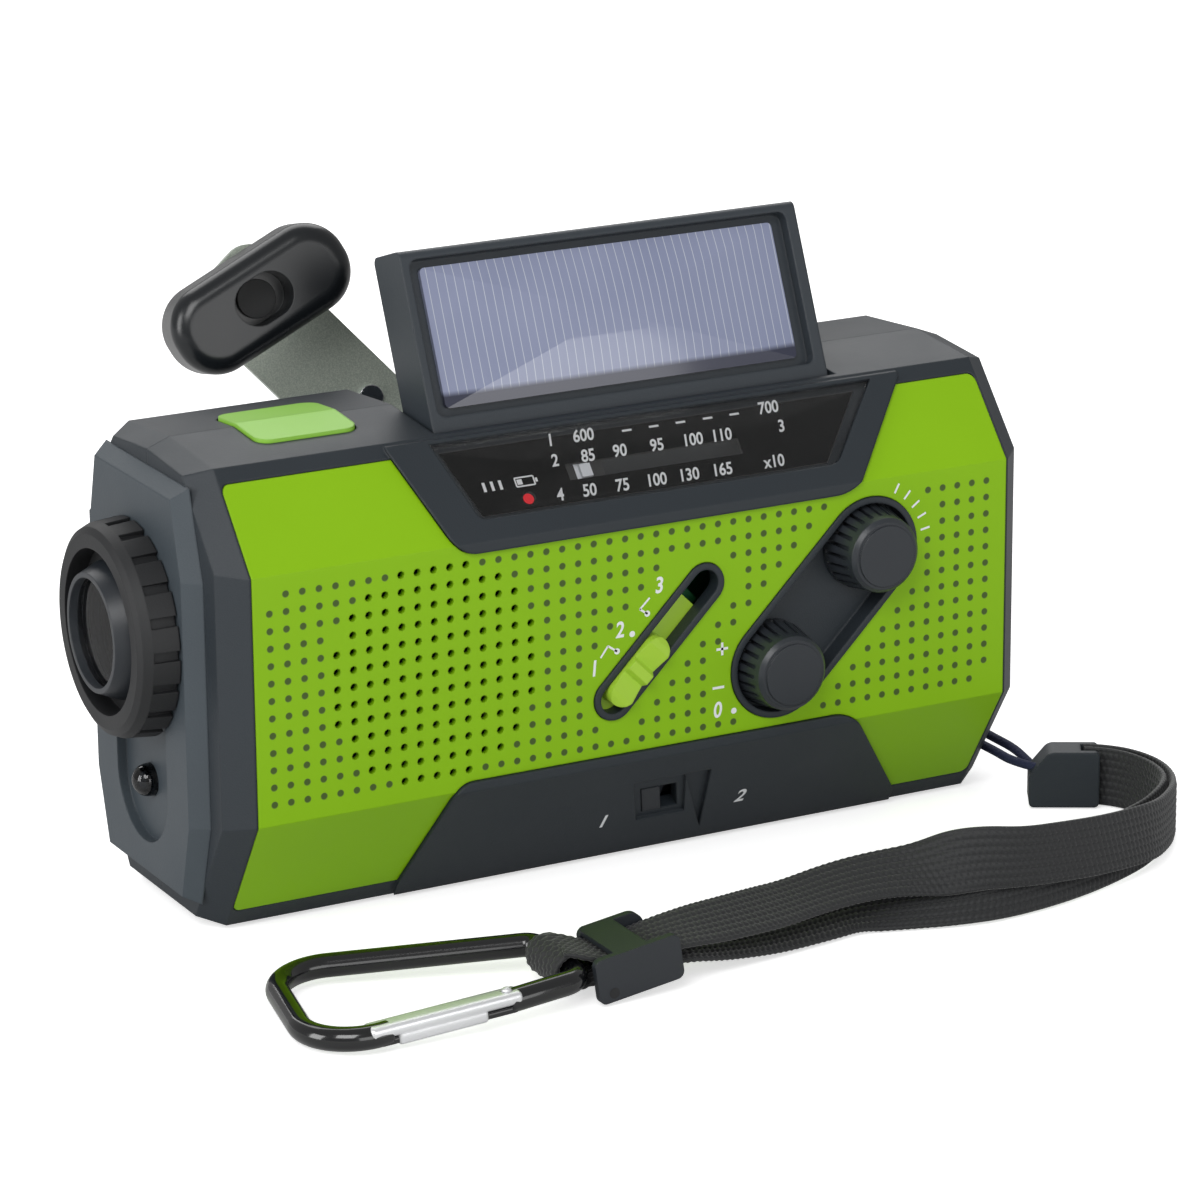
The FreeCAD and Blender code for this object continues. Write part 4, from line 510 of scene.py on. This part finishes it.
strap = dict(
    wide=10.0,
    thick=1.3,
    rows=8,
    weave=1.05,
    ribDepth=0.2,
    beatDepth=0.26,
    acrossPoints=49,
    alongStep=0.3,
    floorGap=0.05,
    lower=[
        ((79.8, -32.5, 5.2), (0, 0, 1)), ((82.0, -33.8, 5.2), (0, 0, 1)), ((84.8, -38.2, 5.2), (0, 0, 1)),
        ((85.5, -44.6, 5.2), (0, 0, 1)), ((83.3, -51.4, 5.2), (0, 0, 1)),
        ((76.7, -57.9, 5.2), (-0.12, 0.12, 0.98)), ((70.1, -61.7, 5.1), (-0.15, 0.3, 0.94)),
        ((59.3, -65.4, 4.8), (-0.15, 0.48, 0.87)), ((50.0, -67.5, 4.6), (-0.1, 0.56, 0.82)),
        ((42.1, -68.3, 4.5), (0, 0.6, 0.8)), ((34.6, -67.2, 3.7), (0, 0.8, 0.6)),
        ((25.3, -63.5, 2.85), (0, 0.91, 0.42)), ((18.0, -60.5, 2.0), (0, 0.97, 0.24)),
        ((10.4, -61.8, 1.85), (0, 0.98, 0.2)), ((0.9, -63.1, 2.1), (0, 0.98, 0.2)),
        ((-9.0, -64.6, 3.2), (-0.06, 0.98, 0.15)), ((-16.5, -65.9, 4.5), (0, 1, 0.05)),
        ((-25.0, -65.9, 3.95), (0, 1, 0)), ((-29.6, -65.2, 3.5), (0, 1, 0)),
    ],
    loop=[
        ((-33.7, -62.7, 1.93), (0, 1, 0)), ((-35.1, -62.7, 2.2), (0, 1, 0)),
        ((-36.2, -62.7, 3.1), (0, 1, 0)), ((-36.5, -62.7, 4.62), (0, 1, 0)),
        ((-36.2, -62.7, 6.1), (0, 1, 0)), ((-35.1, -62.7, 7.05), (0, 1, 0)),
        ((-33.7, -62.7, 7.31), (0, 1, 0)),
    ],
    upper=[
        ((-29.0, -65.4, 6.2), (0, 1, 0)), ((-25.0, -65.9, 6.1), (0, 1, 0)),
        ((-17.4, -66.0, 7.2), (-0.13, 0.98, 0.12)), ((-9.9, -65.5, 7.2), (-0.2, 0.94, 0.29)),
        ((-0.2, -63.7, 6.8), (0.08, 0.95, 0.3)), ((8.2, -61.2, 6.3), (0, 0.97, 0.26)),
        ((16.2, -60.5, 7.0), (0, 0.94, 0.33)), ((23.4, -60.7, 7.3), (-0.07, 0.91, 0.4)),
        ((29.8, -62.6, 7.6), (-0.05, 0.87, 0.49)), ((36.6, -67.5, 9.8), (0, 0.25, 0.97)),
        ((43.2, -70.0, 9.5), (0, 0, 1)), ((50.9, -69.9, 9.0), (0, 0, 1)), ((59.3, -68.9, 8.3), (0, 0, 1)),
        ((68.7, -66.1, 7.5), (0, 0, 1)), ((74.7, -62.4, 6.5), (0, 0, 1)), ((83.6, -53.6, 5.4), (0, 0, 1)),
        ((87.2, -44.8, 5.2), (0, 0, 1)), ((86.3, -37.4, 5.2), (0, 0, 1)), ((82.7, -32.5, 5.2), (0, 0, 1)),
        ((80.5, -31.2, 5.2), (0, 0, 1)),
    ],
)


# Black nylon yarn with a faint sheen, fine fibres running along the band.
def woven(name, colour):
    material, tree = newMaterial(name)
    at = addNode(tree, "ShaderNodeTexCoord").outputs["Object"]
    fibre = addNode(tree, "ShaderNodeTexNoise", Vector=at, Scale=1 / (0.25 * mm), Detail=3.0)
    normal = addNode(tree, "ShaderNodeBump", Height=fibre.outputs["Fac"], Distance=0.05 * mm)
    tone = addNode(tree, "ShaderNodeMix", {"data_type": "RGBA"}, i0=fibre.outputs["Fac"], i6=linear("08090A"))
    tone.inputs[7].default_value = linear(colour)
    shader = addNode(tree, "ShaderNodeBsdfPrincipled", Base_Color=tone.outputs[2],
                     Roughness=0.62, Sheen_Weight=0.25)
    tree.links.new(normal.outputs[0], shader.inputs["Normal"])
    return finishMaterial(material, tree, shader.outputs[0])


def makeStrap(s, onIt):
    route = s["lower"] + s["loop"] + s["upper"]
    centre = np.array([p for p, w in route], float)
    line = splinePoints(centre)
    steps = np.linalg.norm(np.diff(line, axis=0), axis=1)
    along = np.concatenate([[0], np.cumsum(steps)])
    # the width's direction is spread along the line by its distance from each route point
    share = np.arange(len(line)) / len(line)
    knots = []
    for i, c in enumerate(centre):
        far = 10 * (np.abs(share - i / len(centre)) > 0.12)
        knots.append(along[np.argmin(np.linalg.norm(line - c * mm, axis=1) + far)])
    knots = np.maximum.accumulate(np.array(knots)) + np.arange(len(knots)) * 1e-7
    fine = np.linspace(0, along[-1], int(along[-1] / (s["alongStep"] * mm)))
    path = np.stack([np.interp(fine, along, line[:, k]) for k in range(3)], 1)
    width = np.array([w for p, w in route], float)
    u = np.stack([np.interp(fine, knots, width[:, k]) for k in range(3)], 1)
    kernel = np.ones(15) / 15
    way = np.gradient(path, axis=0)
    way /= np.linalg.norm(way, axis=1)[:, None]
    u = np.stack([np.convolve(np.pad(u[:, k], 7, "edge"), kernel, "valid") for k in range(3)], 1)
    u -= way * (u * way).sum(1)[:, None]
    u /= np.linalg.norm(u, axis=1)[:, None]
    v = np.cross(way, u)
    # section: two ribbed faces and rounded edges; each row of yarn swells in turn along the band
    across = np.linspace(-1, 1, s["acrossPoints"])
    half, thick = s["wide"] / 2, s["thick"] / 2
    row = across * s["rows"] / 2
    edge = np.sqrt(np.clip(1 - np.abs(across) ** 14, 0, 1))
    phase = np.floor(row) % 2
    rib = np.abs(np.cos(math.pi * row)) ** 0.6
    turns = fine[:, None] / (s["weave"] * mm) + phase[None, :] * 0.5 + 0.35 * (row % 1)[None, :]
    beat = 0.5 + 0.5 * np.sin(2 * math.pi * turns)
    lift = thick * edge[None, :] - s["ribDepth"] * (1 - rib)[None, :] * edge[None, :]
    lift = lift - s["beatDepth"] * beat * edge[None, :]
    sideways = u[:, None, :] * (across * half)[None, :, None]
    upwards = v[:, None, :] * lift[:, :, None]
    top = path[:, None, :] + (sideways + upwards) * mm
    low = path[:, None, :] + (sideways - upwards) * mm
    ring = np.concatenate([top, low[:, -2:0:-1]], axis=1)
    count = ring.shape[1]
    faces = gridFaces(len(fine), count)
    points = ring.reshape(-1, 3)
    points[:, 2] = np.maximum(points[:, 2], s["floorGap"] * mm)
    obj = addMesh("webbing", points, faces, "case", woven("black_nylon_webbing", "1B1D20"))
    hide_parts("wrist_strap")
    print("webbing length", round(float(along[-1]), 4), "triangles", 2 * len(faces))


makeStrap(strap, makeCarabiner(carabiner))


# Marks: plain numbers and signs.
trees = {}


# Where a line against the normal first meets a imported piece.
def surfaceAt(node, point, normal):
    if node not in trees:
        trees[node] = BVHTree.FromObject(nodes[node], bpy.context.evaluated_depsgraph_get())
    hit = trees[node].ray_cast(Vector(point) + Vector(normal) * 0.02, -Vector(normal))[0]
    return np.array(hit)


facets = {
    "upper": dict(origin=(0, -28.2, 59.95), up=(0, 12.2, 14.15), out=(0, -14.15, 12.2),
                  solid=(-14.0, 9.4)),
    "middle": dict(origin=(0, -28.2, 40.2), up=(0, 0, 1), out=(0, -1, 0), solid=(-58.5, 15.3)),
    "lower": dict(origin=(0, -28.2, 20.55), up=(0, -12.7, 19.75), out=(0, -19.75, -12.7),
                  solid=(-12.0, -15.0)),
}


def facetAxes(name):
    s = facets[name]
    up, out = np.array(s["up"], float), np.array(s["out"], float)
    return np.array(s["origin"]) * mm, up / np.linalg.norm(up), out / np.linalg.norm(out)


# Flat points in mm, laid on a facet of the case round a place given by x and v.
def layFlat(flat, facet, x, v, node, lift=0.02, turn=0.0):
    origin, up, out = facetAxes(facet)
    side = np.array([1.0, 0, 0])
    solid = facets[facet]["solid"]
    known = origin + side * solid[0] * mm + up * solid[1] * mm
    sink = (surfaceAt(node, known, out) - known) @ out
    base = origin + side * x * mm + up * v * mm + out * (sink + lift * mm)
    c, s = math.cos(math.radians(turn)), math.sin(math.radians(turn))
    p = np.asarray(flat) * mm
    return base + np.outer(p[:, 0] * c - p[:, 1] * s, side) + np.outer(p[:, 0] * s + p[:, 1] * c, up)


def textMesh(words, size):
    curve = bpy.data.curves.new("words", "FONT")
    curve.body = words
    curve.size = size
    curve.align_x = "CENTER"
    curve.align_y = "CENTER"
    curve.resolution_u = 4
    curve.offset = 0.022 * size
    obj = bpy.data.objects.new("words", curve)
    scene.collection.objects.link(obj)
    bpy.context.view_layer.update()
    mesh = bpy.data.meshes.new_from_object(obj.evaluated_get(bpy.context.evaluated_depsgraph_get()))
    points = np.empty(len(mesh.vertices) * 3)
    mesh.vertices.foreach_get("co", points)
    faces = [tuple(p.vertices) for p in mesh.polygons]
    bpy.data.objects.remove(obj)
    bpy.data.meshes.remove(mesh)
    return points.reshape(-1, 3)[:, :2], faces


def barPoints(length, thick):
    a, b = length / 2, thick / 2
    return [(-a, -b), (a, -b), (a, b), (-a, b)]


def addWords(sheet, words, size, facet, x, v, node, turn=0.0, squeeze=0.85, slant=0.12, lift=0.02):
    flat, faces = textMesh(words, size)
    flat = np.stack([flat[:, 0] * squeeze + flat[:, 1] * slant, flat[:, 1]], 1)
    sheet.add(layFlat(flat, facet, x, v, node, lift, turn), faces)


def addBar(sheet, length, thick, facet, x, v, node, turn=0.0, lift=0.02):
    sheet.add(layFlat(barPoints(length, thick), facet, x, v, node, lift, turn), [(0, 1, 2, 3)])


def addDisc(sheet, radius, facet, x, v, node, lift=0.02):
    flat = discPoints(radius)
    sheet.add(layFlat(flat, facet, x, v, node, lift), [tuple(range(len(flat)))])


dialMarks = dict(
    size=2.9,
    rows=[
        (15.5, [("1", -10.4), ("600", -4.6), ("700", 28.6)]),
        (12.0, [("2", -10.8), ("85", -5.0), ("90", 0.6), ("95", 7.2), ("100", 13.6), ("110", 18.8),
                ("3", 29.7)]),
        (6.2, [("4", -11.9), ("50", -6.8), ("75", -1.0), ("100", 5.0), ("130", 10.8), ("165", 16.8),
               ("x10", 26.2)]),
    ],
    dashes=dict(xs=[3.0, 7.8, 12.6, 17.5, 22.3], v=15.3, long=1.7, thick=0.35),
    # a cell's sign: bars by their offset, length and thickness, round a place on the dial
    cell=dict(
        place=(-17.0, 9.4),
        bars=[(0, 0.75, 3.2, 0.25), (0, -0.75, 3.2, 0.25), (-1.6, 0, 0.25, 1.5), (1.6, 0, 0.25, 1.5),
              (2.0, 0, 0.4, 0.7), (-0.9, 0, 0.9, 0.9)],
    ),
    level=dict(xs=[-24.0, -22.6, -21.2], v=9.4, wide=0.5, tall=1.6),
    lamp=dict(place=(-17.4, 6.4), radius=0.9, lift=0.05),
)


def makeDialMarks(s):
    sheet = Sheet()
    for v, words in s["rows"]:
        for text, x in words:
            addWords(sheet, text, s["size"], "upper", x, v, "dial_scale", slant=0.2)
    dash, cell, level, lamp = s["dashes"], s["cell"], s["level"], s["lamp"]
    for x in dash["xs"]:
        addBar(sheet, dash["long"], dash["thick"], "upper", x, dash["v"], "dial_scale")
    for dx, dv, long, thick in cell["bars"]:
        addBar(sheet, long, thick, "upper", cell["place"][0] + dx, cell["place"][1] + dv, "dial_scale")
    for x in level["xs"]:
        addBar(sheet, level["wide"], level["tall"], "upper", x, level["v"], "dial_scale")
    sheet.piece("dial_figures", "case", printWhite)
    face = Sheet()
    addDisc(face, lamp["radius"], "upper", *lamp["place"], "dial_scale", lift=lamp["lift"])
    face.piece("tuning_lamp_face", "case", tuneRed)


makeDialMarks(dialMarks)

frontMarks = dict(
    size=3.6,
    figures=[("1", -8.8, 36.6), ("2", -4.2, 42.2), ("3", 2.8, 48.4), ("0", 13.2, 26.2)],
    # leaders from a figure to its dot: x, z, length and turn in degrees
    leaders=[
        (0.15, 45.9, 2.4, 43), (-0.05, 44.65, 1.7, -35), (-7.05, 39.15, 2.2, 53), (-5.6, 39.45, 2.0, -35),
    ],
    leaderThick=0.32,
    dots=[(0.6, 44.2), (-2.1, 41.3), (-4.8, 38.9), (16.1, 25.7)],
    dotRadius=0.5,
    # plus and minus: x, z and turn of each bar
    signs=[(14.0, 36.3, 0), (14.0, 36.3, 90), (13.3, 30.0, 0)],
    signBar=(2.1, 0.42),
    ticks=dict(centre=(41.05, 8.6), radius=10.4, first=62, step=13, count=5, bar=(1.7, 0.35)),
    lower=dict(figures=[(-3.6, "1"), (21.5, "2")], v=-14.2, size=4.2),
)


def makeFrontMarks(s):
    sheet = Sheet()
    middleZ = facets["middle"]["origin"][2]
    for text, x, z in s["figures"]:
        addWords(sheet, text, s["size"], "middle", x, z - middleZ, "front_panel", slant=0.1)
    for x, z, long, turn in s["leaders"]:
        addBar(sheet, long, s["leaderThick"], "middle", x, z - middleZ, "front_panel", turn)
    for x, z in s["dots"]:
        addDisc(sheet, s["dotRadius"], "middle", x, z - middleZ, "front_panel")
    for x, z, turn in s["signs"]:
        addBar(sheet, *s["signBar"], "middle", x, z - middleZ, "front_panel", turn)
    tick, lower = s["ticks"], s["lower"]
    for k in range(tick["count"]):
        a = math.radians(tick["first"] - tick["step"] * k)
        x = tick["centre"][0] + tick["radius"] * math.cos(a)
        v = tick["centre"][1] + tick["radius"] * math.sin(a)
        addBar(sheet, *tick["bar"], "middle", x, v, "front_panel", math.degrees(a))
    for x, text in lower["figures"]:
        addWords(sheet, text, lower["size"], "lower", x, lower["v"], "front_case", slant=0.1)
    sheet.piece("front_figures", "case", printWhite)


makeFrontMarks(frontMarks)

dimples = dict(
    pitch=2.75,
    radius=0.6,
    sides=14,
    columns=(-8, 39),
    middle=(15.18, 2.07),
    # the loudspeaker's own holes, in pitches: their centre and the square of their reach
    grille=((2, 2), 42.4),
    skipped=[(-8, -4), (-4, -1)],
    # a point inside the panel's outline, where its face is found, in metres
    faceAt=(-0.06, -0.0282, 0.055),
    # each ring from the rim inwards: size, rise of its centre, height over the face, painted shade; the
    # raised inner ring leaves a lighter lower rim as painted light
    rings=[(1.0, 0.0, 0.015, 0.0), (0.62, 0.06, 0.012, 0.75)],
    heart=(0.1, 0.01, 1.0),
    rows=[
        (-4, [(-63.7, 32.4), (51.6, 62.8)]), (-3, [(-63.7, 29.7), (54.4, 62.8)]),
        (-2, [(-63.7, 2.0), (15.8, 26.9), (54.4, 62.8)]), (-1, [(-63.7, -0.7), (18.6, 24.1), (51.6, 62.8)]),
        (0, [(-63.7, -3.5), (18.6, 21.3), (51.6, 62.8)]), (1, [(-63.7, -6.2), (15.8, 18.6), (51.6, 62.8)]),
        (2, [(-63.7, -9.0), (13.0, 15.8), (48.8, 62.8)]), (3, [(-63.7, -11.7), (10.3, 13.0), (46.1, 62.8)]),
        (4, [(-63.7, -11.7), (7.6, 10.3), (43.3, 62.8)]), (5, [(-63.7, -11.7), (4.8, 10.3), (40.6, 62.8)]),
        (6, [(-63.7, -11.7), (2.0, 10.3), (37.8, 62.8)]), (7, [(-63.7, -9.0), (-0.7, 10.3), (35.1, 62.8)]),
        (8, [(-63.7, 15.8), (32.4, 59.9)]),
    ],
)


# Painted shade of a blind hole on a flat disc: the attribute runs from the rim's green to the dark middle.
def dimpled(name):
    material, tree = newMaterial(name)
    hollow_shade = addNode(tree, "ShaderNodeAttribute", {"attribute_name": "hollow_shade"})
    ramp = addNode(tree, "ShaderNodeValToRGB", Fac=hollow_shade.outputs["Fac"])
    ramp.color_ramp.elements[0].color = linear("6E9618")
    ramp.color_ramp.elements[1].position = 0.45
    ramp.color_ramp.elements[1].color = linear("3C5410")
    shader = addNode(tree, "ShaderNodeBsdfPrincipled", Base_Color=ramp.outputs[0], Roughness=0.55)
    return finishMaterial(material, tree, shader.outputs[0])


def makeDimples(s):
    pitch, sides = s["pitch"], s["sides"]
    (gi, gj), reach = s["grille"]
    places = []
    for j, spans in s["rows"]:
        z = (s["middle"][1] - j) * pitch + facets["middle"]["origin"][2]
        for i in range(*s["columns"]):
            x = (i - s["middle"][0]) * pitch
            inside = any(a - 1 < x < b + 1 for a, b in spans)
            if inside and (i - gi) ** 2 + (j - gj) ** 2 > reach and (i, j) not in s["skipped"]:
                places.append((x, z))
    places = np.array(places)
    hit = surfaceAt("front_panel", s["faceAt"], (0, -1, 0))
    rim, rise = discPoints(s["radius"], sides), s["heart"]
    local = [rim * size + np.array([0, up]) for size, up, _, _ in s["rings"]]
    local = np.concatenate(local + [[[0, rise[0]]]])
    y = np.concatenate([np.full(sides, high) for _, _, high, _ in s["rings"]] + [[rise[1]]])
    shade = np.concatenate([np.full(sides, dark) for _, _, _, dark in s["rings"]] + [[rise[2]]])
    count = len(local)
    points = np.zeros((len(places), count, 3))
    points[:, :, 0] = places[:, :1] + local[None, :, 0]
    points[:, :, 2] = places[:, 1:] + local[None, :, 1]
    points[:, :, 1] = hit[1] / mm - y[None, :]
    one = [(k, (k + 1) % sides, sides + (k + 1) % sides, sides + k) for k in range(sides)]
    one += [(sides + k, sides + (k + 1) % sides, 2 * sides) for k in range(sides)]
    faces = [tuple(v + n * count for v in f) for n in range(len(places)) for f in one]
    # flat discs with painted shade stand in for the hollows of the blind holes
    obj = addMesh("panel_dimples", points.reshape(-1, 3) * mm, faces, "case", dimpled("dimple_shadow"))
    values = np.tile(shade, len(places))
    obj.data.attributes.new("hollow_shade", "FLOAT", "POINT").data.foreach_set("value", values)
    print("dimples", len(places))


makeDimples(dimples)


# Stage.
studio = dict(
    floor="F7F7F7",
    bounce="D8D8D8",
    floorHalf=6.0,
    sky=0.38,
    lift=0.6,
    # name, place, width and height, watts
    lights=[
        ("key_softbox", (-0.9, -0.9, 1.1), (0.8, 0.8), 11),
        ("back_softbox", (0.3, 1.0, 1.0), (1.4, 1.0), 9),
        ("front_softbox", (0.1, -1.5, 0.3), (1.4, 0.7), 6.5),
        ("left_softbox", (-1.3, 0.0, 0.35), (0.5, 0.8), 6.5),
    ],
)


def addLight(name, place, size, power, aim=(0.0, -0.02, 0.04)):
    data = bpy.data.lights.new(name, "AREA")
    data.energy = power
    data.shape = "RECTANGLE"
    data.size, data.size_y = size
    obj = bpy.data.objects.new(name, data)
    turn = (Vector(aim) - Vector(place)).to_track_quat("-Z", "Y").to_matrix().to_4x4()
    obj.matrix_world = Matrix.Translation(place) @ turn
    scene.collection.objects.link(obj)


def makeStage(s):
    size = s["floorHalf"]
    points = [(-size, -size, 0), (size, -size, 0), (size, size, 0), (-size, size, 0)]
    mesh = bpy.data.meshes.new("floor")
    mesh.from_pydata(points, [], [(0, 1, 2, 3)])
    obj = bpy.data.objects.new("floor", mesh)
    scene.collection.objects.link(obj)
    material, tree = newMaterial("white_sweep")
    seen = addNode(tree, "ShaderNodeBsdfDiffuse", Color=linear(s["floor"]))
    lift = addNode(tree, "ShaderNodeEmission", Color=(1, 1, 1, 1), Strength=s["lift"])
    both = addNode(tree, "ShaderNodeAddShader", i0=seen.outputs[0], i1=lift.outputs[0])
    bounced = addNode(tree, "ShaderNodeBsdfDiffuse", Color=linear(s["bounce"]))
    ray = addNode(tree, "ShaderNodeLightPath")
    parts = dict(i0=ray.outputs["Is Camera Ray"], i1=bounced.outputs[0], i2=both.outputs[0])
    pick = addNode(tree, "ShaderNodeMixShader", **parts)
    mesh.materials.append(finishMaterial(material, tree, pick.outputs[0]))
    world = bpy.data.worlds.new("studio")
    world.use_nodes = True
    scene.world = world
    tree = world.node_tree
    tree.nodes.clear()
    path = addNode(tree, "ShaderNodeLightPath")
    soft = addNode(tree, "ShaderNodeBackground", Color=(1, 1, 1, 1), Strength=s["sky"])
    white = addNode(tree, "ShaderNodeBackground", Color=(1, 1, 1, 1), Strength=1.0)
    parts = dict(i0=path.outputs["Is Camera Ray"], i1=soft.outputs[0], i2=white.outputs[0])
    mix = addNode(tree, "ShaderNodeMixShader", **parts)
    addNode(tree, "ShaderNodeOutputWorld", Surface=mix.outputs[0])
    for light in s["lights"]:
        addLight(*light)


makeStage(studio)
print("stage set")
